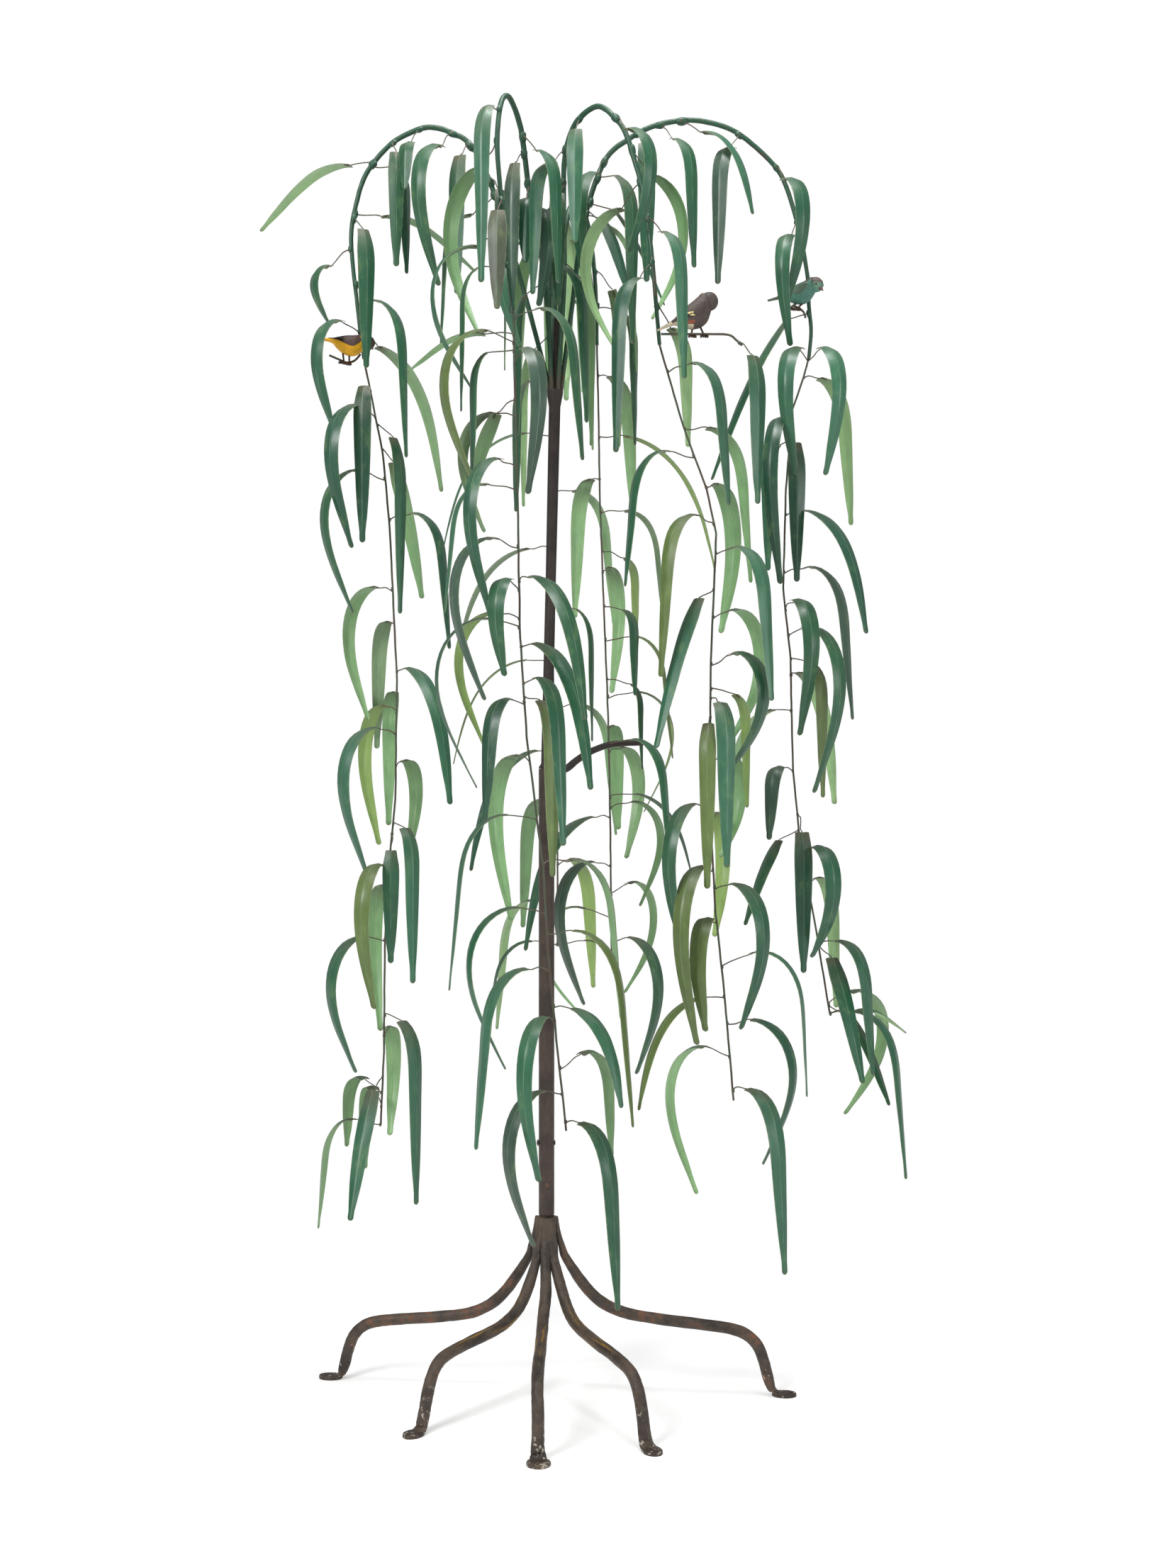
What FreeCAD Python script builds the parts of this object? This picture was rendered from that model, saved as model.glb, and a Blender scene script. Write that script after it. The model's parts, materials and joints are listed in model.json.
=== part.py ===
import FreeCAD, Part
import math
import os

V = FreeCAD.Vector
UP = V(0, 0, 1)

# The stand: five forged legs that fan out to the front and sides, and the hub that they are welded into
leg_reach = 300.0
leg_rise = 200.0
leg_bar = 16.0
leg_sides = 8
pad_length = 35.0
pad_width = 25.0
pad_thickness = 5.0
pad_sides = 14
screw_hole_radius = 2.75
hub_seat = 2.0
hub_height = 42.0
hub_top_radius = 16.5
hub_base_radius = 21.5
hub_bevel = 3.5
hub_sides = 24
weld_gap = 0.3

# The post: a tube pinned on the hub's spigot, with the trunk's rod let into its upper end
spigot_radius = 8.6
spigot_length = 120.0
post_radius = 11.0
post_wall = 2.0
post_length = 629.0
post_lift = 2.5
shoulder_height = 7.0
lower_pin_height = 46.0
upper_pin_height = 104.0
pin_radius = 2.4
pin_head_radius = 5.0
pin_head_height = 2.6
pin_sides = 12
fit_gap = 0.3
trunk_radius = 7.3
trunk_sides = 12
trunk_socket_depth = 60.0
trunk_length = 534.0
trunk_lean = 12.0
trunk_head_radius = 11.4
trunk_head_height = 24.0
stub_radius = 4.2
stub_length = 104.0

# The crown: six sprung rods that rise round the trunk's stub, arch over and carry a hanging wire each
crown_rise = 365.0
branch_root_radius = 3.5
branch_middle_radius = 4.1
branch_tip_radius = 2.7
branch_sides = 6
side_branch_radius = 5.4
side_branch_reach = 138.0
strand_radius = 1.5
strand_sides = 5
strand_gap = 0.4

# The leaves: long folded blades of sheet iron, each on its own stem of thin wire
leaf_length = 262.0
leaf_width = 26.0
leaf_thickness = 0.8
leaf_fold = 3.6
leaf_steps = 24
stem_length = 40.0
stem_radius = 0.8
stem_sides = 3
stem_gap = 0.3

# The birds: small painted castings with wire feet, on twigs of the same wire as the strands
bird_length = 86.0
bird_width = 28.0
bird_height = 37.0
bird_sides = 10
foot_radius = 1.0
foot_gap = 0.5
twig_radius = 1.7

hub_underside = leg_rise - hub_seat
hub_top = hub_underside + hub_height
post_base = hub_top + post_lift
post_top = post_base + post_length
trunk_base = post_top - trunk_socket_depth
trunk_top = post_top + trunk_length
fork_height = trunk_top + trunk_head_height / 4
stub_top = trunk_top + stub_length

# Each leg: its name, the way it points in degrees, and its reach as a share of leg_reach
LEG_HEADINGS = [
    ("left", 172.7, 1.028),
    ("front_left", 230.9, 0.880),
    ("front", 269.4, 1.043),
    ("front_right", 297.3, 1.005),
    ("right", 352.9, 1.100),
]

# A leg's bar: out as a share of its reach, up as a share of leg_rise, then depth and width as shares of
# the bar
LEG_SHARES = [
    (0.055, 0.988, 0.70, 0.44),
    (0.078, 0.93, 0.74, 0.56),
    (0.112, 0.84, 0.86, 0.78),
    (0.150, 0.755, 0.95, 0.95),
    (0.205, 0.665, 1.0, 1.0),
    (0.275, 0.595, 1.0, 1.0),
    (0.380, 0.545, 1.0, 1.0),
    (0.530, 0.515, 1.0, 1.0),
    (0.700, 0.490, 1.0, 1.0),
    (0.820, 0.465, 1.0, 1.0),
    (0.882, 0.425, 1.0, 1.0),
    (0.922, 0.350, 1.0, 1.0),
    (0.940, 0.240, 1.0, 1.0),
    (0.950, 0.130, 1.0, 1.02),
    (0.962, 0.062, 0.80, 1.15),
    (0.990, 0.024, 0.50, 1.36),
]

# Each branch: the way it points, where its root stands round the stub, its reach, and the rod's places:
# out and across as shares of that reach, up as a share of crown_rise
BRANCHES = {
    "left": (180, 180, 275.0, [
        (0.10, 0, 0.20), (0.18, 0, 0.42), (0.29, 0, 0.70), (0.41, 0, 0.91), (0.52, 0, 0.975), (0.64, 0, 1.0),
        (0.745, 0, 0.978), (0.855, 0, 0.926), (0.967, 0, 0.822), (1.015, 0, 0.718), (1.044, 0, 0.605),
        (1.04, 0, 0.488), (1.018, 0, 0.34), (1.0, 0, 0.214), (0.98, 0, 0.105)]),
    "front_left": (255.7, 240, 206.0, [
        (0.07, 0.045, 0.36), (0.15, 0.09, 0.58), (0.256, 0.12, 0.75), (0.42, 0.12, 0.92), (0.636, 0.138, 1.0),
        (0.77, 0.155, 0.95), (0.865, 0.15, 0.80), (0.908, 0.124, 0.665), (0.937, 0.097, 0.56),
        (0.968, 0.064, 0.425), (0.99, 0.033, 0.30), (1.0, 0, 0.165)]),
    "front_right": (309.7, 300, 221.0, [
        (0.093, 0, 0.40), (0.15, 0.05, 0.66), (0.21, 0.09, 0.84), (0.33, 0.10, 0.95), (0.516, 0.087, 0.985),
        (0.646, 0.072, 0.935), (0.748, 0.056, 0.86), (0.817, 0.043, 0.75), (0.871, 0.028, 0.645),
        (0.911, 0.021, 0.52), (0.947, 0.015, 0.385), (0.979, 0.012, 0.22), (1.0, 0, 0.055)]),
    "right": (0, 0, 358.0, [
        (0.07, 0, 0.33), (0.11, 0, 0.62), (0.19, 0, 0.86), (0.277, 0, 0.945), (0.39, 0, 1.005),
        (0.52, 0, 1.027), (0.617, 0, 1.016), (0.704, 0, 0.986), (0.777, 0, 0.934), (0.846, 0, 0.871),
        (0.897, 0, 0.803),
        (0.942, 0, 0.675), (0.975, 0, 0.542), (0.997, 0, 0.403), (1.0, 0, 0.315), (1.009, 0, 0.21),
        (1.0, 0, 0.11)]),
    "back_right": (68, 60, 160.0, [
        (0.12, 0, 0.30), (0.17, 0, 0.52), (0.30, 0, 0.70), (0.52, 0, 0.78), (0.72, 0, 0.74), (0.88, 0, 0.62),
        (0.97, 0, 0.45), (1.0, 0, 0.25)]),
    "back": (93, 120, 235.0, [
        (0.09, 0, 0.28), (0.13, 0, 0.52), (0.22, 0, 0.72), (0.40, 0, 0.82), (0.58, 0, 0.80), (0.76, 0, 0.70),
        (0.90, 0, 0.54), (0.97, 0, 0.36), (1.0, 0, 0.16)]),
}

# Each strand: its hanging length, and its places: down, to the right and to the back as shares of that length
STRANDS = {
    "left": (1080.0, [
        (0, 0, 0), (0.12, 0.024, 0), (0.21, 0.033, 0), (0.42, 0.043, 0), (0.575, 0.041, 0), (0.69, 0.030, 0),
        (0.78, 0.027, 0), (0.905, 0.026, 0), (1, 0.022, 0)]),
    "front_left": (1075.0, [
        (0, 0, 0), (0.14, 0.003, 0), (0.40, 0.008, 0), (0.52, 0.016, 0), (0.60, 0.026, 0), (0.68, 0.036, 0),
        (0.78, 0.042, 0), (0.90, 0.053, 0), (1, 0.064, 0)]),
    "front_right": (1000.0, [
        (0, 0, 0), (0.11, 0.032, 0), (0.19, 0.062, 0), (0.25, 0.075, 0), (0.42, 0.068, 0), (0.60, 0.066, 0),
        (0.75, 0.074, 0), (0.85, 0.085, 0), (1, 0.098, 0)]),
    "right": (925.0, [
        (0, 0, 0), (0.03, -0.008, 0), (0.08, -0.025, 0), (0.20, -0.035, 0), (0.35, -0.039, 0),
        (0.46, -0.028, 0), (0.63, -0.024, 0), (0.76, -0.011, 0), (0.86, 0.009, 0), (1, 0.032, 0)]),
    "back_right": (905.0, [
        (0, 0, 0), (0.10, 0.002, 0), (0.26, 0.005, 0), (0.40, 0.010, 0), (0.60, 0.018, 0), (0.80, 0.022, 0),
        (1, 0.024, 0)]),
    "back": (865.0, [
        (0, 0, 0), (0.20, 0.004, 0), (0.50, 0.006, 0), (0.80, 0.014, 0), (1, 0.014, 0)]),
}

# How a leaf hangs: the pitch of its stem, of its blade at the stem and at the tip, and the share of its
# length that it bends over
LEAF_HABITS = {
    "hang": (-35, -62, -91, 0.40),
    "drop": (-10, -30, -90, 0.35),
    "droop": (10, 5, -85, 0.50),
    "arch": (25, 28, -88, 0.60),
    "sweep": (5, -5, -78, 0.95),
    "hook": (15, 5, -118, 0.85),
    "curl": (20, 20, -138, 0.95),
    "fling": (5, 15, -38, 0.80),
    "slant": (-20, -50, -68, 0.90),
    "fall": (-5, -48, -91, 0.30),
    "dip": (-40, -5, -88, 0.45),
    "dip_curl": (-40, 5, -125, 0.90),
    "dip_sweep": (-30, -5, -78, 0.90),
}

# A blade's sections: how far along it they lie, and how wide it is there as a share of leaf_width
BLADE_SHARES = [(0, 0.80), (0.17, 1.0), (0.35, 0.97), (0.56, 0.85), (0.78, 0.60), (1, 0.20)]

# The leaves on each branch and strand: the place along it, the way the leaf points, its habit and its
# length share
LEAVES = {
    "strand_left": [
        (.04, 265, "fall", .85), (.087, 320, "hang", .95), (.077, 240, "hook", .95),
        (.16, 222, "hook", .95), (.119, 70, "slant", .8), (.212, 327, "droop", .85), (.305, 135, "hook", .9),
        (.347, 110, "droop", .8), (.44, 102, "droop", .85), (.461, 122, "hook", .95),
        (.492, 233, "hook", 1.0),
        (.409, 300, "sweep", .95), (.533, 75, "hook", .65), (.606, 300, "drop", .85), (.621, 273, "hang", .6),
        (.668, 255, "hook", .95), (.699, 105, "hook", 1.0), (.761, 228, "hook", .9), (.855, 315, "drop", 1.0),
        (.886, 87, "hook", .75), (.959, 135, "arch", .5), (.974, 112, "arch", .6), (1.0, 165, "droop", .7),
        (.938, 255, "slant", .7),
    ],
    "strand_front_left": [
        (.01, 325, "droop", .9), (.065, 290, "hook", .9), (.03, 168, "fling", .45), (.04, 215, "hook", 1.0),
        (.05, 205, "drop", .65), (.11, 135, "slant", .5), (.13, 145, "hook", .75), (.196, 238, "hook", 1.0),
        (.22, 200, "droop", .75), (.29, 222, "hook", 1.0), (.385, 195, "hook", 1.05),
        (.375, 150, "hook", .85),
        (.33, 300, "sweep", .95), (.34, 250, "hook", .6), (.41, 302, "sweep", .95), (.455, 298, "droop", .95),
        (.47, 305, "drop", .9), (.48, 240, "droop", .7), (.55, 117, "hook", 1.05), (.62, 198, "droop", 1.0),
        (.735, 203, "hook", 1.0), (.805, 218, "droop", 1.0), (.865, 250, "hook", 1.0),
        (.955, 230, "hook", .95),
        (.675, 25, "droop", .95), (.76, 332, "droop", 1.1), (.85, 315, "sweep", .6), (.925, 45, "arch", .7),
        (.99, 305, "droop", 1.0),
    ],
    "strand_front_right": [
        (.038, 315, "droop", .85), (.154, 205, "droop", .8), (.115, 32, "droop", .9), (.195, 65, "hook", .95),
        (.243, 230, "droop", .95), (.285, 307, "droop", .9), (.332, 235, "slant", .85),
        (.368, 50, "curl", 1.0),
        (.43, 310, "curl", .85), (.473, 285, "drop", .85), (.46, 30, "drop", .6), (.50, 263, "drop", .85),
        (.56, 60, "curl", .75), (.638, 77, "curl", .9), (.62, 237, "hook", 1.0), (.70, 245, "hook", 1.1),
        (.767, 250, "hook", .7), (.723, 305, "hook", .9), (.823, 342, "arch", .9), (.865, 213, "sweep", .7),
        (.90, 325, "hook", .9), (.942, 138, "hook", .95), (.985, 300, "droop", 1.0),
    ],
    "strand_right": [
        (.005, 290, "hook", .85), (.031, 45, "droop", .9), (.005, 245, "hook", .85), (.114, 275, "hang", .75),
        (.114, 250, "hook", 1.1), (.135, 235, "drop", .7), (.243, 305, "sweep", .9), (.33, 320, "droop", .95),
        (.384, 285, "hook", .9), (.424, 302, "hook", 1.1), (.459, 310, "drop", .75), (.481, 62, "sweep", .95),
        (.538, 130, "sweep", .6), (.629, 238, "droop", .45), (.697, 275, "hang", .75),
        (.719, 215, "slant", .5),
        (.757, 290, "curl", .85), (.8, 60, "droop", .85), (.892, 310, "droop", .8), (.897, 292, "slant", .7),
        (1.0, 325, "droop", 1.0), (.989, 320, "slant", .5), (.984, 35, "curl", .95), (1.0, 20, "fling", .35),
    ],
    "strand_back_right": [
        (.276, 18, "droop", .8), (.34, 25, "drop", .55), (.37, 75, "hook", .9), (.43, 325, "drop", .5),
        (.486, 345, "droop", .8), (.55, 340, "drop", .5), (.58, 3, "hook", .85), (.63, 80, "droop", .7),
        (.67, 60, "hook", .8), (.74, 345, "sweep", .6), (.76, 30, "hook", .75), (.777, 225, "sweep", .95),
        (.857, 225, "hook", 1.0), (.90, 50, "curl", .9), (.94, 165, "curl", .95), (.98, 310, "hook", .95),
        (.15, 12, "sweep", 1.0), (.05, 60, "droop", .9), (.22, 110, "droop", .9),
    ],
    "strand_back": [
        (.1, 193, "sweep", .9), (.2, 30, "droop", .9), (.3, 160, "sweep", .85), (.4, 340, "drop", .8),
        (.5, 187, "sweep", .8), (.58, 30, "droop", .9), (.66, 222, "sweep", .9), (.75, 120, "droop", .9),
        (.86, 60, "droop", .9), (.93, 150, "droop", .9), (1.0, 0, "droop", .9), (1.0, 190, "droop", .9),
    ],
    "branch_left": [
        (.65, 150, "fling", .7), (.55, 250, "dip", .3), (.60, 280, "hang", .62), (.655, 330, "drop", .6),
        (.87, 330, "dip", .95), (.755, 300, "hang", .75), (.81, 215, "dip_curl", .4),
        (.945, 50, "dip_sweep", .95), (.745, 25, "fling", .6), (.49, 245, "dip_curl", .95),
        (.35, 200, "dip", .8),
        (.45, 250, "hang", .75), (.38, 300, "hang", .6), (.955, 235, "hook", .75),
    ],
    "branch_front_left": [
        (.68, 130, "dip_curl", 1.1), (.30, 235, "dip_curl", .7), (.85, 197, "dip_curl", .95),
        (.62, 253, "drop", .95), (.80, 265, "hang", .5), (.92, 200, "drop", .75),
        (.47, 310, "dip", .8), (.44, 250, "hang", .8),
        (.38, 268, "dip", .4), (.36, 290, "dip_curl", .65), (.26, 318, "dip", .95), (.2, 215, "hang", .75),
    ],
    "branch_front_right": [
        (.48, 262, "hang", .6), (.42, 235, "dip", .8), (.36, 260, "hang", .6), (.58, 305, "dip_curl", .8),
        (.65, 40, "dip_curl", .95), (.715, 140, "dip_curl", .95), (.86, 237, "dip", 1.0),
        (.78, 304, "dip", .85), (.93, 50, "dip", .65),
    ],
    "branch_right": [
        (.37, 247, "dip_curl", .95), (.345, 312, "drop", .95), (.28, 305, "slant", .5),
        (.30, 338, "slant", .6), (.44, 285, "hang", .75), (.515, 320, "dip_sweep", .65),
        (.61, 245, "dip", .85), (.48, 305, "dip", .8),
        (.69, 290, "dip_curl", .85), (.785, 250, "dip_curl", .75), (.93, 207, "slant", 1.0),
    ],
    "branch_back_right": [
        (.35, 30, "hang", .9), (.5, 75, "dip", .9), (.6, 10, "dip", .9), (.7, 120, "drop", .9),
        (.8, 40, "hang", .9), (.9, 330, "drop", .8),
    ],
    "side_branch": [(.66, 325, "droop", .8)],
    "twig_front_right": [(.96, 300, "hang", .75)],
    "branch_back": [
        (.4, 130, "dip", .9), (.5, 65, "hang", .9), (.6, 180, "drop", .9), (.7, 90, "dip", .9),
        (.8, 20, "drop", .9), (.9, 150, "hang", .9), (1.0, 220, "drop", .8),
    ],
}

# The brown side branch: out and up as shares of its reach
SIDE_BRANCH_HEADING = 355
SIDE_BRANCH_SHARES = [(0.075, -0.05), (0.20, 0.0), (0.29, 0.07), (0.39, 0.14), (0.51, 0.20), (0.65, 0.245),
                      (0.82, 0.26), (1.0, 0.265)]

# A bird's casting: along it from tail tip to beak, half its width, its top and its underside, as shares
# of its length, width and height
BIRD_SHARES = [
    (0.00, 0.13, 0.34, 0.29),
    (0.12, 0.17, 0.39, 0.31),
    (0.26, 0.24, 0.48, 0.30),
    (0.36, 0.40, 0.60, 0.15),
    (0.47, 0.49, 0.72, 0.03),
    (0.58, 0.50, 0.81, 0.00),
    (0.68, 0.44, 0.90, 0.08),
    (0.75, 0.36, 0.97, 0.25),
    (0.82, 0.34, 1.00, 0.38),
    (0.89, 0.28, 0.95, 0.46),
    (0.93, 0.14, 0.80, 0.51),
    (1.00, 0.02, 0.62, 0.58),
]

# Each bird, by the branch that carries it: its place from that branch's tip (right, back, up, as shares of
# bird_length), the way it looks, its pitch, its size share
BIRDS = {
    "left": ((-0.771, -0.31, 0.136), 8, -14, 1.0),
    "front_right": ((0.006, -0.13, 0.03), 14, 20, 1.18),
    "right": ((-0.663, 0.0, 0.797), 340, 3, 1.0),
}

# Each twig that a bird stands on: places from the branch's tip, as shares of bird_length
TWIGS = {
    "left": [(-0.06, -0.012, 0.07), (-0.14, -0.09, -0.047), (-0.256, -0.198, -0.105),
             (-0.395, -0.244, -0.058), (-0.535, -0.267, 0)],
    "front_right": [(0.022, -0.01, 0.16), (0.35, -0.05, 0.148), (0.70, -0.05, 0.148), (1.05, -0.03, 0.145),
                    (1.18, -0.03, 0.06), (1.27, -0.03, -0.02)],
    "right": [(-0.06, -0.035, 0.65), (-0.10, -0.14, 0.71), (-0.21, -0.20, 0.775), (-0.31, -0.21, 0.775),
              (-0.43, -0.19, 0.62)],
}

# Each bird's two feet: the ring of its casting that a foot leaves, and its place along the twig
FEET = {
    "left": [(4, 0.62), (5, 0.48)],
    "front_right": [(4, 0.36), (5, 0.50)],
    "right": [(4, 0.64), (5, 0.45)],
}


def ahead(heading):
    """The level direction of a heading in degrees: 0 is to the right, 90 to the back."""
    angle = math.radians(heading)
    return V(math.cos(angle), math.sin(angle), 0)


def beside(heading):
    """The level direction to the right of a heading."""
    angle = math.radians(heading)
    return V(math.sin(angle), -math.cos(angle), 0)


def pitched(heading, pitch):
    """The direction of a heading, tilted up by a pitch."""
    rise = math.radians(pitch)
    return ahead(heading) * math.cos(rise) + UP * math.sin(rise)


def unit(vector):
    return vector * (1 / vector.Length)


def smooth(points, parts):
    """More points on the rounded line through a few chosen ones."""
    line = []
    last = len(points) - 1
    for i in range(last):
        a, b, c, d = points[max(i - 1, 0)], points[i], points[i + 1], points[min(i + 2, last)]
        for k in range(parts):
            t = k / parts
            bend = a * 2 - b * 5 + c * 4 - d
            turn = b * 3 - a - c * 3 + d
            line.append((b * 2 + (c - a) * t + bend * t ** 2 + turn * t ** 3) * 0.5)
    line.append(points[last])
    return line


def spans(path):
    return [a.distanceToPoint(b) for a, b in zip(path, path[1:])]


def along(path, share):
    """The place at a share of a path's length, and the path's way there."""
    left = share * sum(spans(path))
    for a, b in zip(path, path[1:]):
        span = a.distanceToPoint(b)
        if left <= span:
            return a + (b - a) * (left / span), unit(b - a)
        left -= span
    return path[-1], unit(path[-1] - path[-2])


def tangents(path):
    ways = [unit(b - a) for a, b in zip(path, path[1:])]
    return [ways[0]] + [unit(a + b) for a, b in zip(ways, ways[1:])] + [ways[-1]]


def skinned(rings):
    """A solid with flat triangles between rings of as many points each, closed at both ends."""
    count = len(rings[0])
    triangles = []
    for ring_points, after in zip(rings, rings[1:]):
        for i in range(count):
            j = (i + 1) % count
            triangles.append((ring_points[i], ring_points[j], after[j]))
            triangles.append((ring_points[i], after[j], after[i]))
    for i in range(1, count - 1):
        triangles.append((rings[0][0], rings[0][i + 1], rings[0][i]))
        triangles.append((rings[-1][0], rings[-1][i], rings[-1][i + 1]))
    shell = Part.makeShell([Part.Face(Part.makePolygon([a, b, c, a])) for a, b, c in triangles])
    shell.sewShape()
    solid = Part.Solid(shell)
    if solid.Volume < 0:
        solid.reverse()
    return solid


def ring(centre, one, other, sides, turn=0.5):
    """A ring of points round a centre, between two half axes."""
    angles = [2 * math.pi * (k + turn) / sides for k in range(sides)]
    return [centre + one * math.cos(a) + other * math.sin(a) for a in angles]


def rod(path, radii, sides, side_way):
    """A round rod with flats along a path, its radius given at each of the path's points."""
    rings = []
    for place, way, radius in zip(path, tangents(path), radii):
        one = unit(side_way - way * side_way.dot(way))
        rings.append(ring(place, one * radius, way.cross(one) * radius, sides))
    return skinned(rings)


def steps(start, way, profile, sides):
    """A turned piece with flats: rings of the profile's radii at its distances along a straight way."""
    one = unit(way.cross(V(0, 1, 0)) if abs(way.y) < 0.9 else way.cross(V(1, 0, 0)))
    other = way.cross(one)
    return skinned([ring(start + way * far, one * radius, other * radius, sides) for far, radius in profile])


def screw_place(heading, reach_share):
    """The middle of a foot's screw hole, at the floor."""
    return ahead(heading) * (leg_reach * reach_share + pad_length * 0.4)


def leg_bar_solid(heading, reach_share):
    """The forged bar of a leg: drawn thin where it meets the hub, bent twice, and flattened into its foot."""
    out = ahead(heading)
    across = beside(heading)
    reach = leg_reach * reach_share
    path = [out * (reach * o) + UP * (leg_rise * u) for o, u, depth, width in LEG_SHARES]
    ways = tangents(path)
    ways[0] = UP * -1
    ways[-1] = out
    rings = []
    for place, way, (o, u, depth, width) in zip(path, ways, LEG_SHARES):
        over = across.cross(way)
        rings.append(ring(place, across * (leg_bar * width / 2), over * (leg_bar * depth / 2), leg_sides))
    return skinned(rings)


def leg(heading, reach_share):
    """A leg's bar, cut level where its spread end stands on the foot plate."""
    reach = leg_reach * reach_share
    corner = ahead(heading) * reach - V(leg_reach / 2, leg_reach / 2, leg_rise)
    below = Part.makeBox(leg_reach, leg_reach, leg_rise + pad_thickness + weld_gap, corner)
    return leg_bar_solid(heading, reach_share).cut(below)


def foot_plate(heading, reach_share):
    """An oval plate, flat on the floor, with a hole for a screw beside the leg's end."""
    out = ahead(heading)
    middle = out * (leg_reach * reach_share + pad_length * 0.1)
    rim = ring(middle, out * (pad_length / 2), beside(heading) * (pad_width / 2), pad_sides)
    plate = skinned([rim, [place + UP * pad_thickness for place in rim]])
    drill_start = screw_place(heading, reach_share) - UP * pad_thickness
    return plate.cut(Part.makeCylinder(screw_hole_radius, pad_thickness * 3, drill_start)).removeSplitter()


def base_hub():
    """The turned hub: a cone with a bevelled rim at each end, and the spigot that the post slides over."""
    low = hub_underside + weld_gap
    height = hub_top - low
    profile = [
        (0, hub_base_radius - hub_bevel), (hub_bevel, hub_base_radius), (height - hub_bevel, hub_top_radius),
        (height, hub_top_radius - hub_bevel / 2), (height, spigot_radius),
        (height + spigot_length - hub_bevel, spigot_radius),
        (height + spigot_length, spigot_radius - hub_bevel)]
    return steps(UP * low, UP, profile, hub_sides)


def pin_hole(height, way):
    reach = 2 * post_radius
    return Part.makeCylinder(pin_radius + fit_gap / 2, 2 * reach, UP * height - way * reach, way)


def cross_pin(height, way):
    """A pin with a domed head at one end and a flatter, peened one at the other."""
    half = post_radius + fit_gap
    profile = [
        (-half - pin_head_height / 2, pin_head_radius * 0.55), (-half, pin_head_radius * 0.8),
        (-half, pin_radius),
        (half, pin_radius), (half, pin_head_radius), (half + pin_head_height * 0.6, pin_head_radius * 0.82),
        (half + pin_head_height, pin_head_radius * 0.4)]
    return steps(UP * height, way, profile, pin_sides)


def post_tube():
    outer = Part.makeCylinder(post_radius, post_length, UP * post_base)
    return outer.cut(Part.makeCylinder(post_radius - post_wall, post_length, UP * post_base))


def trunk_axis(height):
    """The trunk's middle at a height: it leans a little to the right above the post."""
    return V(trunk_lean * max(height - post_top, 0) / trunk_length, 0, height)


def trunk_rod():
    """The trunk: let into the post below its shoulder, flared at the top where the six branches stand, and
    ending in a rounded stub between them."""
    shoulder = post_top + fit_gap
    profile = [
        (post_top - trunk_socket_depth, trunk_radius), (shoulder, trunk_radius), (shoulder, post_radius),
        (shoulder + shoulder_height * 0.3, post_radius), (shoulder + shoulder_height, trunk_radius * 1.08),
        (post_top + trunk_length * 0.5, trunk_radius), (trunk_top - trunk_head_height, trunk_radius * 1.12),
        (trunk_top - trunk_head_height * 0.2, trunk_head_radius), (trunk_top, trunk_head_radius),
        (trunk_top, stub_radius), (stub_top - stub_radius * 0.6, stub_radius), (stub_top, stub_radius * 0.4)]
    side = V(1, 0, 0)
    back = V(0, 1, 0)
    return skinned([ring(trunk_axis(height), side * radius, back * radius, trunk_sides)
                    for height, radius in profile])


def branch_path(name):
    """A branch's middle line: up from the trunk's head beside the stub, then over in an arch."""
    heading, root_heading, reach, shares = BRANCHES[name]
    out = ahead(heading)
    across = beside(heading)
    fork = trunk_axis(trunk_top) + V(0, 0, fork_height - trunk_top)
    root = ahead(root_heading) * (stub_radius + branch_root_radius + 2 * weld_gap)
    foot = trunk_axis(trunk_top) + root + UP * weld_gap
    seat = foot + UP * (branch_root_radius * 2) + root * 0.1
    rise = [fork + (out * o + across * c) * reach + UP * (crown_rise * u) for o, c, u in shares]
    return [foot] + smooth([seat] + rise, 2)


def branch_radius(share):
    if share < 0.5:
        return branch_root_radius + (branch_middle_radius - branch_root_radius) * 2 * share
    return branch_middle_radius + (branch_tip_radius - branch_middle_radius) * (2 * share - 1)


def branch_rod(name):
    path = branch_path(name)
    lengths = spans(path)
    shares = [sum(lengths[:k]) / sum(lengths) for k in range(len(path))]
    return rod(path, [branch_radius(share) for share in shares], branch_sides, beside(BRANCHES[name][0]))


def strand_path(name):
    length, shares = STRANDS[name]
    top = branch_path(name)[-1] - UP * strand_gap
    return [top + V(x * length, y * length, -down * length) for down, x, y in shares]


def strand_wire(name):
    path = strand_path(name)
    return rod(path, [strand_radius] * len(path), strand_sides, V(0, 1, 0))


def side_branch_path():
    """The middle line of the side branch, from the side of the post just under the trunk's shoulder."""
    out = ahead(SIDE_BRANCH_HEADING)
    return smooth([UP * post_top + (out * o + UP * u) * side_branch_reach for o, u in SIDE_BRANCH_SHARES], 1)


def side_branch_radius_at(share):
    return side_branch_radius * (1 - 0.25 * share)


def side_branch():
    path = side_branch_path()
    last = len(path) - 1
    radii = [side_branch_radius_at(k / last) for k in range(last + 1)]
    blank = rod(path, radii, branch_sides, beside(SIDE_BRANCH_HEADING))
    clearance = Part.makeCylinder(post_radius + fit_gap, leg_rise, UP * (post_top - leg_rise / 2))
    return blank.cut(clearance)


def twig_path(name):
    tip = branch_path(name)[-1]
    return [tip + V(*shares) * bird_length for shares in TWIGS[name]]


def twig(name):
    path = twig_path(name)
    return rod(path, [twig_radius] * len(path), strand_sides, V(0.1, 1, 0.1))


def host(group):
    """The path that a group of leaves grows on, and that rod's radius at a share of its length."""
    kind, name = group.split("_", 1)
    if kind == "strand":
        return strand_path(name), lambda share: strand_radius
    if kind == "branch":
        return branch_path(name), branch_radius
    if kind == "twig":
        return twig_path(name), lambda share: twig_radius
    return side_branch_path(), side_branch_radius_at


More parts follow.
